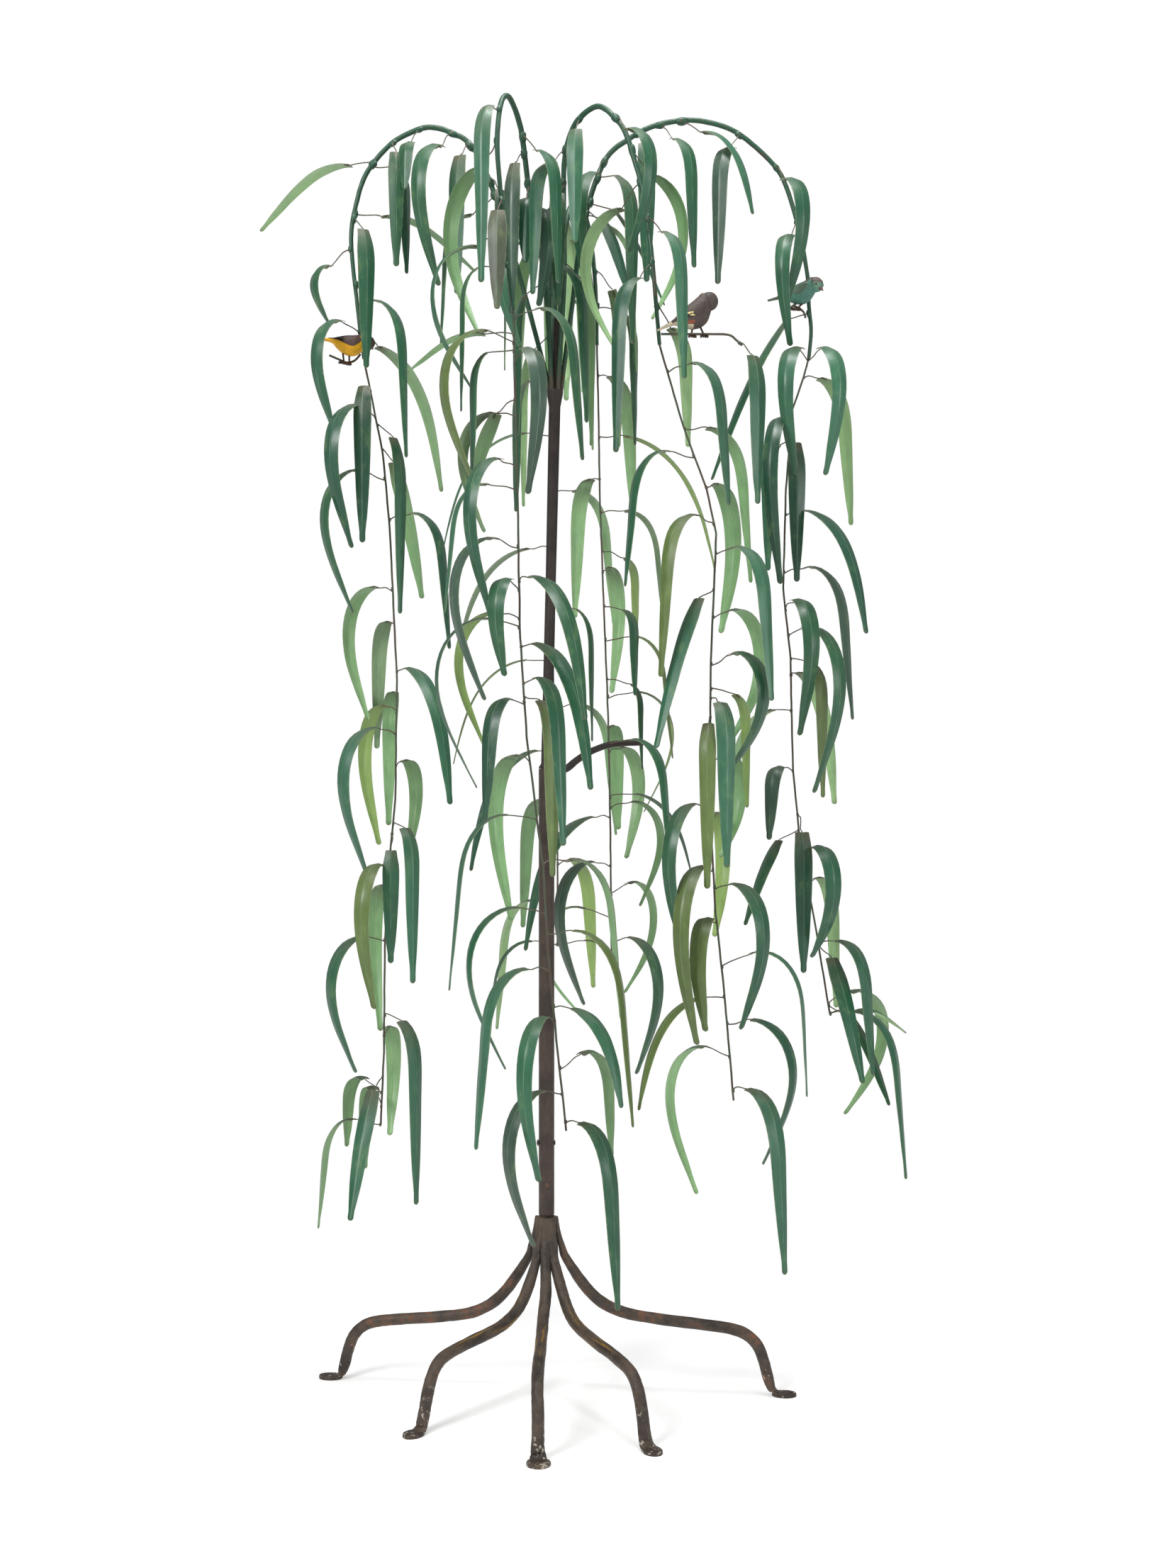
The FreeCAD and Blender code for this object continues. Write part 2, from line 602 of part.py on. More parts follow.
def sprout(group, share, heading, habit):
    """Where a leaf's stem leaves its rod: on the rod's skin, on the side that the stem points to."""
    path, radius_at = host(group)
    place, rod_way = along(path, share)
    way = pitched(heading, LEAF_HABITS[habit][0])
    slant = way.dot(rod_way)
    side = unit(way - rod_way * slant)
    return place + side * (radius_at(share) + stem_gap + stem_radius * abs(slant)), way


def leaf_line(start, heading, habit, length_share):
    """A blade's middle line from its stem's end, with the blade's way at each section."""
    stem_pitch, first, last, bend = LEAF_HABITS[habit]
    step = leaf_length * length_share / leaf_steps
    ways = []
    for k in range(leaf_steps + 1):
        share = min(k / leaf_steps / bend, 1)
        ways.append(pitched(heading, first + (last - first) * (1 - (1 - share) ** 2)))
    line = [start]
    for a, b in zip(ways, ways[1:]):
        line.append(line[-1] + (a + b) * (step / 2))
    marks = [round(share * leaf_steps) for share, width in BLADE_SHARES]
    return [line[mark] for mark in marks], [ways[mark] for mark in marks]


def blade(line, ways, heading):
    """A leaf's folded blade: thin at both edges, with the ridge of the fold along its outer face."""
    across = beside(heading)
    rings = []
    for place, way, (share, width) in zip(line, ways, BLADE_SHARES):
        over = across.cross(way)
        half = across * (leaf_width * width / 2)
        fold = over * (leaf_fold * width)
        thick = over * (leaf_thickness / 2)
        rings.append([place + half - fold, place + thick, place - half - fold, place - thick])
    return skinned(rings)


def stem(start, way):
    """A leaf's stem: thin wire from the rod's skin to just short of the blade."""
    side = V(1, 0, 0) if abs(way.z) > 0.9 else UP
    return rod([start, start + way * (stem_length - stem_gap)], [stem_radius] * 2, stem_sides, side)


def leaf_group(group):
    """The blades and the stems of one branch, strand or twig."""
    blades, stems = [], []
    for place_share, heading, habit, length_share in LEAVES[group]:
        start, way = sprout(group, place_share, heading, habit)
        line, ways = leaf_line(start + way * stem_length, heading, habit, length_share)
        blades.append(blade(line, ways, heading))
        stems.append(stem(start, way))
    return blades, stems


def bird_frame(name):
    """A bird's base point under its tail tip, the ways along it, across it and over it, and its size."""
    place_shares, heading, pitch, size = BIRDS[name]
    base = branch_path(name)[-1] + V(*place_shares) * bird_length
    way = pitched(heading, pitch)
    across = beside(heading)
    return base, way, across, across.cross(way), size


def bird(name):
    """A bird's casting: a flat tail, a round breast, and a round head with a short beak."""
    base, way, across, over, size = bird_frame(name)
    rings = []
    for share, half, top, under in BIRD_SHARES:
        middle = base + way * (bird_length * size * share) + over * (bird_height * size * (top + under) / 2)
        tall = over * (bird_height * size * (top - under) / 2)
        rings.append(ring(middle, across * (bird_width * size * half), tall, bird_sides, 0))
    return skinned(rings)


def bird_feet(name):
    """A bird's feet: two wires that come down from the breast and hook round the twig."""
    base, way, across, over, size = bird_frame(name)
    path = twig_path(name)
    hook = twig_radius + foot_radius + fit_gap
    wires = []
    for mark, twig_share in FEET[name]:
        share, half, top, under = BIRD_SHARES[mark]
        leave = base + way * (bird_length * size * share) + over * (bird_height * size * under) - UP * foot_gap
        grip, twig_way = along(path, twig_share)
        near = unit(V(twig_way.y, -twig_way.x, 0))
        if (leave - grip).dot(near) < 0:
            near = near * -1
        line = [leave, grip + near * hook + UP * foot_radius, grip + near * hook - UP * (hook * 0.6),
                grip - UP * hook * 1.15, grip - near * hook - UP * (hook * 0.5)]
        wires.append(rod(line, [foot_radius] * len(line), strand_sides, twig_way))
    return wires


def place_shift(solids):
    """How far the object moves so that the middle of its box's underside is the origin."""
    box = FreeCAD.BoundBox()
    for solid in solids:
        box.add(solid.BoundBox)
    return V(-box.Center.x, -box.Center.y, -box.ZMin)


def stand_nodes():
    lower_pin = hub_top + lower_pin_height
    upper_pin = hub_top + upper_pin_height
    holes = [pin_hole(lower_pin, V(0, -1, 0)), pin_hole(upper_pin, V(-1, 0, 0))]
    nodes = {"leg_" + name: [leg(heading, reach_share)] for name, heading, reach_share in LEG_HEADINGS}
    nodes["foot_plates"] = [foot_plate(heading, reach_share) for name, heading, reach_share in LEG_HEADINGS]
    nodes["base_hub"] = [base_hub().cut(holes)]
    nodes["post_tube"] = [post_tube().cut(holes)]
    nodes["lower_cross_pin"] = [cross_pin(lower_pin, V(0, -1, 0))]
    nodes["upper_cross_pin"] = [cross_pin(upper_pin, V(-1, 0, 0))]
    nodes["trunk_rod"] = [trunk_rod()]
    nodes["side_branch"] = [side_branch()]
    return nodes


def crown_nodes():
    nodes = {}
    for name in BRANCHES:
        nodes["branch_" + name] = [branch_rod(name)]
        nodes["strand_" + name] = [strand_wire(name)]
    for group in LEAVES:
        blades, stems = leaf_group(group)
        if len(blades) == 1:
            nodes[group + "_leaf"] = blades + stems
        else:
            nodes[group + "_leaves"] = blades
            nodes[group + "_stems"] = stems
    return nodes


def bird_nodes():
    nodes = {}
    for name in BIRDS:
        nodes["bird_" + name] = [bird(name)]
        nodes["bird_" + name + "_feet"] = bird_feet(name)
        nodes["twig_" + name] = [twig(name)]
    return nodes


def main():
    os.makedirs("parts", exist_ok=True)
    nodes = {**stand_nodes(), **crown_nodes(), **bird_nodes()}
    shift = place_shift([solid for solids in nodes.values() for solid in solids])
    for name, solids in nodes.items():
        for solid in solids:
            solid.translate(shift)
        shape = solids[0] if len(solids) == 1 else Part.makeCompound(solids)
        shape.exportStep("parts/" + name + ".step")
    print("nodes", len(nodes), "solids", sum(len(solids) for solids in nodes.values()))
    print("shift", [round(value, 3) for value in shift])


main()
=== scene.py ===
"""A painted sheet-metal weeping tree with three small birds, on a post with five forged feet."""

import itertools
import json
import random
from math import atan2, cos, degrees, hypot, pi, radians, sin, sqrt

import bmesh
import bpy
from mathutils import Matrix, Vector, noise

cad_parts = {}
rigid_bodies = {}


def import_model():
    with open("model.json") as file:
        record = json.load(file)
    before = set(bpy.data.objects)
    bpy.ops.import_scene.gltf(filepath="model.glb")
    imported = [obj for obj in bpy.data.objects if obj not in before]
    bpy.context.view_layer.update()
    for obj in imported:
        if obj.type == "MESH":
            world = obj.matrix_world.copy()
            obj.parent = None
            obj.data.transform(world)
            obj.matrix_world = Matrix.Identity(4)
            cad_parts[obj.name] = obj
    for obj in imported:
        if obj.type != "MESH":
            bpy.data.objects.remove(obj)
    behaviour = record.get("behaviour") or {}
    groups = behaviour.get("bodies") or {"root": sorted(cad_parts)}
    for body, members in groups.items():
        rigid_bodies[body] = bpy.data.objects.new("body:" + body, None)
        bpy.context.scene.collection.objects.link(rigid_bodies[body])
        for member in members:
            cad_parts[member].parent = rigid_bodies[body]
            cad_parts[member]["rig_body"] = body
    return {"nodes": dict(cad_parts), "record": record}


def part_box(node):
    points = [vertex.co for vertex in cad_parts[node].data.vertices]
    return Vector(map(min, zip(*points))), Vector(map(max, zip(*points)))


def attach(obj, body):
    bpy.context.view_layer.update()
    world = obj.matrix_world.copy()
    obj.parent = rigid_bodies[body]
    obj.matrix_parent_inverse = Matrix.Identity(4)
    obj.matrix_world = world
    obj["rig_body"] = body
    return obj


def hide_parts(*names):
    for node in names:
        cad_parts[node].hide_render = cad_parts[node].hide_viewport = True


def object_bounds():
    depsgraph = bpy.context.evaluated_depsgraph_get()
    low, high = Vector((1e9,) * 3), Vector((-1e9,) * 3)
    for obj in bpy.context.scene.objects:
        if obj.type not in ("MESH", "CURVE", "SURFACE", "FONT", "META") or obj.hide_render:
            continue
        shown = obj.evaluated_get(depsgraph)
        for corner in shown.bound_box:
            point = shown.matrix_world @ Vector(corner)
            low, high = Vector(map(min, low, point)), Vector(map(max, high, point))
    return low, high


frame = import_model()
cad_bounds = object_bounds()
# The waver of the strands is the same in each run
noise.seed_set(1)

UP = Vector((0, 0, 1))
SLOT_OF = {row["node"]: row["material_slot"] for row in frame["record"]["subparts"]}
POST_LOW, POST_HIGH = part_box("post_tube")
POST_MIDDLE = Vector(((POST_LOW.x + POST_HIGH.x) / 2, (POST_LOW.y + POST_HIGH.y) / 2, 0))

# How many corners a ring of each kind of CAD solid has, and how many a whole stem has
BLADE_RING, WIRE_RING, BRANCH_RING, LEG_RING, BIRD_RING, TURNED_RING = 4, 5, 6, 8, 10, 12
STEM_CORNERS = 6

# A level camera, this high, this far from the post and this far to its right. A pixel is 1 mm at the post.
CAMERA_HEIGHT, CAMERA_DISTANCE, CAMERA_RIGHT = 0.85, 2.75, 0.0585
SENSOR = 36.0
PHOTO_HEIGHT = 2212

# Small real sizes that only the finished surface has, in metres
SHEET_THICKNESS = 0.0007
TIP_HALF_WIDTH = 0.0042
TIP_ROUND = 0.0045
NOTCH_DEPTH = 0.0016
STEM_RADIUS = 0.0008
STEM_LAP = 0.0108
STRAND_WAVER = 0.0006
POST_BEVEL = 0.0009
TOE_RADIUS = 0.0013

# How finely a blade is divided: along it, round its tip and across it
BLADE_ROWS, TIP_ROWS = 22, 5
BLADE_COLUMNS = (-1, -0.62, -0.22, 0, 0.22, 0.62, 1)

# The leaves that are not green: each group's leaves counted from the top
LEAF_KINDS = {
    "strand_left": {7: "grey", 10: "olive", 15: "olive"},
    "strand_front_left": {2: "olive", 4: "grey", 6: "grey", 9: "grey", 12: "olive", 16: "olive", 22: "olive",
                          27: "grey"},
    "strand_front_right": {4: "olive", 9: "olive", 11: "olive", 14: "olive", 15: "olive", 17: "olive",
                           19: "olive"},
    "strand_right": {7: "grey", 10: "olive", 13: "grey"},
    "strand_back_right": {1: "olive", 3: "grey", 4: "olive", 7: "olive", 9: "olive", 12: "grey", 15: "grey"},
    "strand_back": {2: "grey", 4: "olive", 8: "olive"},
    "branch_front_left": {2: "grey", 7: "brown"},
    "branch_right": {3: "grey"},
}

# Leaves trimmed narrower because a neighbour passes close by them when its strand sways
TRIMMED = {"strand_front_left": {22: 0.80}, "strand_front_right": {19: 0.80}, "strand_back": {10: 0.60},
           "strand_back_right": {16: 0.70, 17: 0.70}}


def colour(red, green, blue):
    """A colour as it is seen, 0 to 255, in the linear light that shaders take."""
    seen = [value / 255 for value in (red, green, blue)]
    return tuple(s / 12.92 if s <= 0.04045 else ((s + 0.055) / 1.055) ** 2.4 for s in seen)


def ease(value, low, high):
    """0 below the low value, 1 above the high one, and smooth between."""
    t = min(max((value - low) / (high - low), 0), 1)
    return t * t * (3 - 2 * t)


def circle(sides):
    """The angle, cosine and sine of places that stand evenly round a circle."""
    angles = [2 * pi * j / sides for j in range(sides)]
    return [(angle, cos(angle), sin(angle)) for angle in angles]


# Reading the CAD solids

def solids_of(node):
    """Each solid of a CAD node: its corners, and for each the corners that it is joined to."""
    mesh = frame["nodes"][node].data
    numbers, places, links, own = {}, [], [], []
    for vertex in mesh.vertices:
        key = tuple(round(value * 1e6) for value in vertex.co)
        if key not in numbers:
            numbers[key] = len(places)
            places.append(vertex.co.copy())
            links.append(set())
        own.append(numbers[key])
    for edge in mesh.edges:
        a, b = own[edge.vertices[0]], own[edge.vertices[1]]
        if a != b:
            links[a].add(b)
            links[b].add(a)
    solids, left = [], set(range(len(places)))
    while left:
        last = {min(left)}
        found = set(last)
        while last:
            last = set().union(*(links[k] for k in last)) - found
            found |= last
        left -= found
        solids.append({k: (places[k], links[k]) for k in sorted(found)})
    return solids


def corners_of(solid):
    return [place for place, links in solid.values()]


def rings_of(solid, start, size):
    """The rings of a skinned solid in turn, from the end that lies nearest to a place."""
    last = sorted(solid, key=lambda k: (solid[k][0] - start).length)[:size]
    rings, seen = [], set()
    while last:
        rings.append([solid[k][0] for k in last])
        seen |= set(last)
        last = sorted({j for k in last for j in solid[k][1]} - seen)
    return rings


def full_rings(solid, start, size):
    """The same rings, without those that a cut has changed."""
    return [ring for ring in rings_of(solid, start, size) if len(ring) == size]


def middle_of(points):
    return sum(points, Vector()) / len(points)


def course_of(node, start, size):
    """A CAD rod's middle line and its radius at each ring."""
    rings = full_rings(solids_of(node)[0], start, size)
    line = [middle_of(ring) for ring in rings]
    return line, [(ring[0] - place).length for ring, place in zip(rings, line)]


def furthest(node, way):
    """The corner of a CAD node that lies furthest that way."""
    places = [vertex.co for vertex in frame["nodes"][node].data.vertices]
    return max(places, key=lambda place: place.dot(way)).copy()


# Shapes: lists of points and faces that become one piece

def within_box(point):
    """The point, or the nearest one inside the CAD model's box."""
    return [min(max(value, low), high) for value, low, high in zip(point, *cad_bounds)]


def new_object(name, data):
    made = bpy.data.objects.new(name, data)
    bpy.context.scene.collection.objects.link(made)
    return made


class Shape:
    """Points and faces that are gathered for one piece, with named values for the points and the faces."""

    def __init__(self):
        self.points, self.faces = [], []
        self.point_values, self.face_values = {}, {}

    def add(self, points, faces, face_values=None, **point_values):
        first = len(self.points)
        self.points += points
        self.faces += [tuple(first + k for k in face) for face in faces]
        for name, column in point_values.items():
            self.point_values.setdefault(name, []).extend(column)
        for name, column in (face_values or {}).items():
            self.face_values.setdefault(name, []).extend(column)

    def piece(self, name, material, node, slot=None, nodes=None, crease=38):
        """A piece on the CAD node's body. It replaces that node unless others are named."""
        mesh = bpy.data.meshes.new(name)
        mesh.from_pydata([within_box(point) for point in self.points], [], self.faces)
        for key, column in self.point_values.items():
            attribute = mesh.attributes.new(key, "FLOAT_VECTOR", "POINT")
            attribute.data.foreach_set("vector", [value for row in column for value in row])
        for key, column in self.face_values.items():
            mesh.attributes.new(key, "FLOAT", "FACE").data.foreach_set("value", column)
        mesh.shade_smooth()
        mesh.set_sharp_from_angle(angle=radians(crease))
        mesh.materials.append(material)
        piece = new_object(name, mesh)
        body, slot = frame["nodes"][node]["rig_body"], slot or SLOT_OF[node]
        nodes = [node] if nodes is None else nodes
        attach(piece, body)
        if nodes:
            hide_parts(*nodes)


def rounded(points, parts):
    """More points, or more numbers, on the rounded line through a few."""
    line, last = [], len(points) - 1
    for i in range(last):
        a, b, c, d = points[max(i - 1, 0)], points[i], points[i + 1], points[min(i + 2, last)]
        bend = a * 2 - b * 5 + c * 4 - d
        turn = b * 3 - a - c * 3 + d
        for t in [k / parts for k in range(parts)]:
            line.append((b * 2 + (c - a) * t + bend * t ** 2 + turn * t ** 3) * 0.5)
    return line + [points[last]]


def divided(points, step):
    """The same straight runs, divided into spans of about a step."""
    line = []
    for a, b in zip(points, points[1:]):
        parts = max(1, round((b - a).length / step))
        line += [a.lerp(b, k / parts) for k in range(parts)]
    return line + [points[-1]]


def lengths_along(line):
    total = [0.0]
    for a, b in zip(line, line[1:]):
        total.append(total[-1] + (b - a).length)
    return total


def ways_along(line):
    ways = [(b - a).normalized() for a, b in zip(line, line[1:])]
    return [ways[0]] + [(a + b).normalized() for a, b in zip(ways, ways[1:])] + [ways[-1]]


def skin_faces(rows, columns, closed_ends=True):
    faces = []
    for i, j in itertools.product(range(rows - 1), range(columns)):
        k = (j + 1) % columns
        faces.append((i * columns + j, i * columns + k, (i + 1) * columns + k, (i + 1) * columns + j))
    if closed_ends:
        faces.append(tuple(reversed(range(columns))))
        faces.append(tuple((rows - 1) * columns + j for j in range(columns)))
    return faces


def add_rod(shape, line, radii, sides, seed=0.0, rough=0.0, flat=None, ways=None):
    """A rod along a line. flat gives each point's level way and its height as a share of its width."""
    ways = ways or ways_along(line)
    side = ways[0].orthogonal().normalized()
    points, sheet, look = [], [], []
    distances = lengths_along(line)
    for k, (place, way, radius) in enumerate(zip(line, ways, radii)):
        side = (side - way * side.dot(way)).normalized()
        tall = 1.0
        if flat:
            side, tall = flat[k]
        other = way.cross(side)
        for angle, x, y in circle(sides):
            spot = place + (side * x + other * y * tall) * radius
            if rough:
                spot += (spot - place) * rough * noise.noise(spot * 220 + Vector((seed, 0, 0)))
            points.append(spot)
            sheet.append((angle * radius, distances[k], seed))
            look.append((distances[k] / distances[-1], x, y))
    shape.add(points, skin_faces(len(line), sides), sheet=sheet, look=look)


def unit_ball():
    """The points and faces of a ball of radius one."""
    made = bmesh.new()
    bmesh.ops.create_icosphere(made, subdivisions=2, radius=1)
    points = [vertex.co.copy() for vertex in made.verts]
    faces = [tuple(vertex.index for vertex in face.verts) for face in made.faces]
    made.free()
    return points, faces


BALL_POINTS, BALL_FACES = unit_ball()


def add_drop(shape, place, way, radius, length, seed):
    """A drop of solder: a lumpy ball, drawn out along a way."""
    turn = way.to_track_quat("Z", "Y")
    points = []
    for point in BALL_POINTS:
        lump = 1 + 0.25 * noise.noise(point * 1.7 + Vector((seed, seed, 0)))
        points.append(place + turn @ Vector((point.x * radius, point.y * radius, point.z * length)) * lump)
    sheet = [(point.x * radius, point.z * length, seed) for point in BALL_POINTS]
    shape.add(points, BALL_FACES, sheet=sheet, look=[(0.5, 0.0, 1.0)] * len(points))


# Materials

class Nodes:
    """The nodes of a material or a world, put together one by one."""

    def __init__(self, owner):
        owner.use_nodes = True
        self.tree = owner.node_tree

    def put(self, socket, value):
        if isinstance(value, bpy.types.NodeSocket):
            self.tree.links.new(value, socket)
        elif socket.type == "RGBA":
            socket.default_value = (*value[:3], 1)
        else:
            socket.default_value = value

    def node(self, kind, inputs, **settings):
        made = self.tree.nodes.new("ShaderNode" + kind)
        for name, value in settings.items():
            setattr(made, name, value)
        for key, value in inputs.items():
            self.put(made.inputs[key], value)
        return made.outputs

    def math(self, operation, a, b=0.0, c=0.0):
        return self.node("Math", {0: a, 1: b, 2: c}, operation=operation)[0]

    def times(self, a, b):
        return self.math("MULTIPLY", a, b)

    def sum_of(self, start, *terms):
        """A start value, and each term's value times its weight."""
        for value, weight in terms:
            start = self.math("MULTIPLY_ADD", value, weight, start)
        return start


class Paint(Nodes):
    """A node material that is being put together."""

    def __init__(self, name):
        self.material = bpy.data.materials.new(name)
        super().__init__(self.material)
        self.shader = self.tree.nodes["Principled BSDF"]

    def value_of(self, name, output="Vector"):
        return self.node("Attribute", {}, attribute_name=name)[output]

    def parts(self, vector):
        return self.node("SeparateXYZ", {0: vector})

    def stretched(self, vector, shares):
        return self.node("VectorMath", {0: vector, 1: shares}, operation="MULTIPLY")[0]

    def places(self):
        return self.node("TexCoord", {})["Object"]

    def noise(self, vector, scale, detail=4.0, roughness=0.6):
        inputs = {"Vector": vector, "Scale": scale, "Detail": detail, "Roughness": roughness}
        return self.node("TexNoise", inputs)["Fac"]

    def grain(self, vector, scales, detail=4.0, roughness=0.6):
        """Noise with its own scale each way."""
        return self.noise(self.stretched(vector, scales), 1.0, detail, roughness)

    def ease(self, value, low, high):
        """0 below the low value, 1 above the high one, and smooth between. The low one may be the larger."""
        return self.node("MapRange", {0: value, 1: low, 2: high}, interpolation_type="SMOOTHSTEP")[0]

    def where(self, first, *others):
        """How far all of some values are past their low levels towards their high ones."""
        share = self.ease(*first)
        for band in others:
            share = self.times(share, self.ease(*band))
        return share

    def mix(self, share, a, b, blend="MIX"):
        return self.node("Mix", {0: share, 6: a, 7: b}, data_type="RGBA", blend_type=blend)[2]

    def over(self, base, share, amount, seen):
        """The base under a colour that covers it by a share times an amount."""
        return self.mix(self.times(share, amount), base, colour(*seen))

    def shade(self, base, *shares):
        """A colour made lighter and darker by each share around a half, times an amount."""
        for share, amount in shares:
            factor = self.math("MULTIPLY_ADD", share, amount, 1 - amount / 2)
            grey = self.node("CombineColor", {0: factor, 1: factor, 2: factor})[0]
            base = self.mix(1.0, base, grey, "MULTIPLY")
        return base

    def done(self, base, roughness, height, depth, **sockets):
        bump = self.node("Bump", {"Height": height, "Distance": depth, "Strength": 1.0})[0]
        values = {"Base Color": base, "Roughness": roughness, "Normal": bump}
        values.update({name.replace("_", " "): value for name, value in sockets.items()})
        for name, value in values.items():
            self.put(self.shader.inputs[name], value)
        return self.material


def leaf_paint():
    """Aged green oil paint on sheet iron: streaked, dusty where the blade bends, chipped at its edges, with a
    painted highlight on the fold.
    """
    p = Paint("leaf_paint")
    sheet, outer = p.value_of("sheet"), p.value_of("outer", "Fac")
    along, across, tone = p.parts(p.value_of("look"))
    edge = p.math("ABSOLUTE", across)
    streaks = p.grain(sheet, (520, 26, 1), 5.0, 0.65)
    clouds = p.grain(sheet, (60, 32, 1), 3.0)
    specks = p.grain(sheet, (480, 110, 1))
    bleached = p.ease(clouds, 0.55, 0.78)
    dust = p.times(p.where((along, 0.34, 0.01), (clouds, 0.25, 0.6)), tone)
    brown_top = p.where((along, 0.10, 0.0), (streaks, 0.35, 0.65))
    rim = p.times(p.math("COMPARE", outer, 0.5, 0.1), p.ease(clouds, 0.3, 0.6))
    worn = p.math("MAXIMUM", p.where((edge, 0.90, 0.99), (specks, 0.42, 0.60)), rim)
    # A pale line down the middle of the blade, along its fold: a painted highlight on the raised crease, on
    # both sheets
    fold_highlight = p.where((edge, 0.075, 0.015), (streaks, 0.35, 0.6))
    chips = p.where((specks, 0.70, 0.73), (clouds, 0.50, 0.62))
    tip = p.where((along, 0.965, 1.0), (streaks, 0.4, 0.6))
    base = p.mix(p.ease(outer, 0.2, 0.8), p.value_of("back"), p.value_of("paint"))
    base = p.shade(base, (streaks, 0.65), (clouds, 0.6))
    for share, amount, seen in (
            (bleached, 0.3, (128, 152, 88)), (dust, 1, (88, 94, 76)), (brown_top, 0.75, (98, 84, 66)),
            (worn, 0.6, (150, 158, 126)), (fold_highlight, 0.35, (150, 180, 150)), (chips, 1, (104, 62, 40)),
            (tip, 0.6, (92, 84, 58))):
        base = p.over(base, share, amount, seen)
    roughness = p.sum_of(0.24, (clouds, 0.30), (dust, 0.30))
    height = p.sum_of(0, (streaks, 0.8), (clouds, 0.8))
    return p.done(base, roughness, height, 0.00008, Coat_Weight=0.08, Coat_Roughness=0.3,
                  Specular_IOR_Level=0.5)


def wire_paint(name, green, brown, brown_level, rust_level):
    """Green paint on iron wire, brown where it has worn, with spots of rust and a few pale scratches."""
    p = Paint(name)
    sheet, along = p.value_of("sheet"), p.parts(p.value_of("look"))[0]
    clouds, grain = p.grain(sheet, (40, 14, 1)), p.grain(sheet, (900, 120, 1))
    specks = p.noise(sheet, 480, 3.0)
    worn = p.ease(clouds, brown_level + 0.06, brown_level - 0.06)
    end = p.ease(p.sum_of(along, (grain, 0.12)), 1.0, 1.08)
    rust = p.where((specks, rust_level, rust_level + 0.06), (clouds, 0.38, 0.55))
    scratches = p.ease(grain, 0.70, 0.78)
    base = p.shade(colour(*green), (grain, 0.6), (clouds, 0.4))
    for share, amount, seen in ((worn, 1, brown), (end, 1, brown), (rust, 0.85, (128, 70, 48)),
                                (scratches, 0.4, (168, 186, 160))):
        base = p.over(base, share, amount, seen)
    height = p.sum_of(0, (specks, 0.6), (grain, 0.4))
    return p.done(base, p.sum_of(0.25, (grain, 0.4)), height, 0.0003, Specular_IOR_Level=0.5)


def iron_paint(name, dark, light, rust_level, patches=26, yellow=False, chips=False):
    """Worn brown paint on forged iron: scale, rust in patches, yellow undercoat, white chips low down."""
    p = Paint(name)
    places, sheet, along = p.places(), p.value_of("sheet"), p.parts(p.value_of("look"))[0]
    clouds, grain = p.noise(places, patches, 5.0), p.grain(sheet, (260, 60, 1), 5.0, 0.7)
    scale, spots = p.noise(places, 420, 4.0, 0.7), p.noise(places, 130, 3.0)
    base = p.mix(p.ease(p.sum_of(clouds, (grain, 0.3)), 0.48, 0.80), colour(*dark), colour(*light))
    base = p.shade(base, (grain, 0.6), (scale, 0.5))
    rust = p.where((clouds, rust_level, rust_level + 0.12), (spots, 0.42, 0.62))
    base = p.over(base, rust, 0.8, (126, 76, 48))
    if yellow:
        streaks = p.grain(sheet, (210, 14, 1))
        run = p.where((along, 0.24, 0.36), (along, 0.74, 0.58), (streaks, 0.53, 0.60), (scale, 0.34, 0.50))
        base = p.over(base, run, 0.85, (146, 112, 44))
    if chips:
        low = p.where((p.parts(places)[2], 0.075, 0.02), (spots, 0.58, 0.63))
        base = p.over(base, low, 0.8, (188, 178, 164))
    base = p.over(base, p.ease(scale, 0.74, 0.80), 1, (168, 158, 142))
    height = p.sum_of(0, (scale, 0.5), (spots, 0.8))
    return p.done(base, p.sum_of(0.38, (scale, 0.35)), height, 0.0007, Specular_IOR_Level=0.45)


def bird_paint(name, ground, zones, shine):
    """Cold paint on a casting: a ground colour, then a colour in each zone, with brushed feather marks."""
    p = Paint(name)
    sheet = p.value_of("sheet")
    feathers = p.grain(sheet, (230, 760, 230), 5.0, 0.7)
    barbs = p.node("TexVoronoi", {"Vector": p.stretched(sheet, (330, 560, 330)), "Scale": 1.0})["Distance"]
    clouds = p.noise(sheet, 95, 3.0)
    ragged = 0.35
    base = colour(*ground)
    for attribute, part, seen in zones:
        amount = p.sum_of(-ragged / 2, (p.parts(p.value_of(attribute))[part], 1), (feathers, ragged))
        base = p.over(base, p.ease(amount, 0.32, 0.68), 1, seen)
    base = p.shade(base, (feathers, 0.8), (barbs, 0.35), (clouds, 0.4))
    base = p.over(base, p.where((feathers, 0.62, 0.70), (clouds, 0.48, 0.58)), 0.45, (122, 104, 90))
    height = p.sum_of(0, (feathers, 0.6), (barbs, 0.5))
    return p.done(base, p.sum_of(shine, (clouds, 0.25)), height, 0.00035, Specular_IOR_Level=0.45)


def gloss_paint(name, seen, roughness):
    """A small painted detail, such as an eye or a beak."""
    p = Paint(name)
    grain = p.noise(p.places(), 900, 3.0)
    base = p.shade(colour(*seen), (grain, 0.35))
    return p.done(base, p.sum_of(roughness, (grain, 0.15)), grain, 0.0001, Specular_IOR_Level=0.5)


# The stand

# Each bar up the hub: how high as a share of the hub's height, and how far it stands off the cone there
HUB_BARS = ((0.03, 0.0040), (0.22, 0.0020), (0.48, 0.0006), (0.74, 0.0), (0.93, 0.0), (0.99, -0.0006))
HUB_BAR_DEPTH, HUB_BAR_WIDTH = 0.0042, 0.45
# How far each finished leg bows down, in towards the post and to its side from the CAD's line, in metres
LEG_BOWS = {"left": (0.010, 0.006, 0), "front_left": (0.002, 0.009, 0), "front": (0, 0, 0.003),
            "front_right": (0.002, 0.009, 0), "right": (0.003, 0.008, 0)}
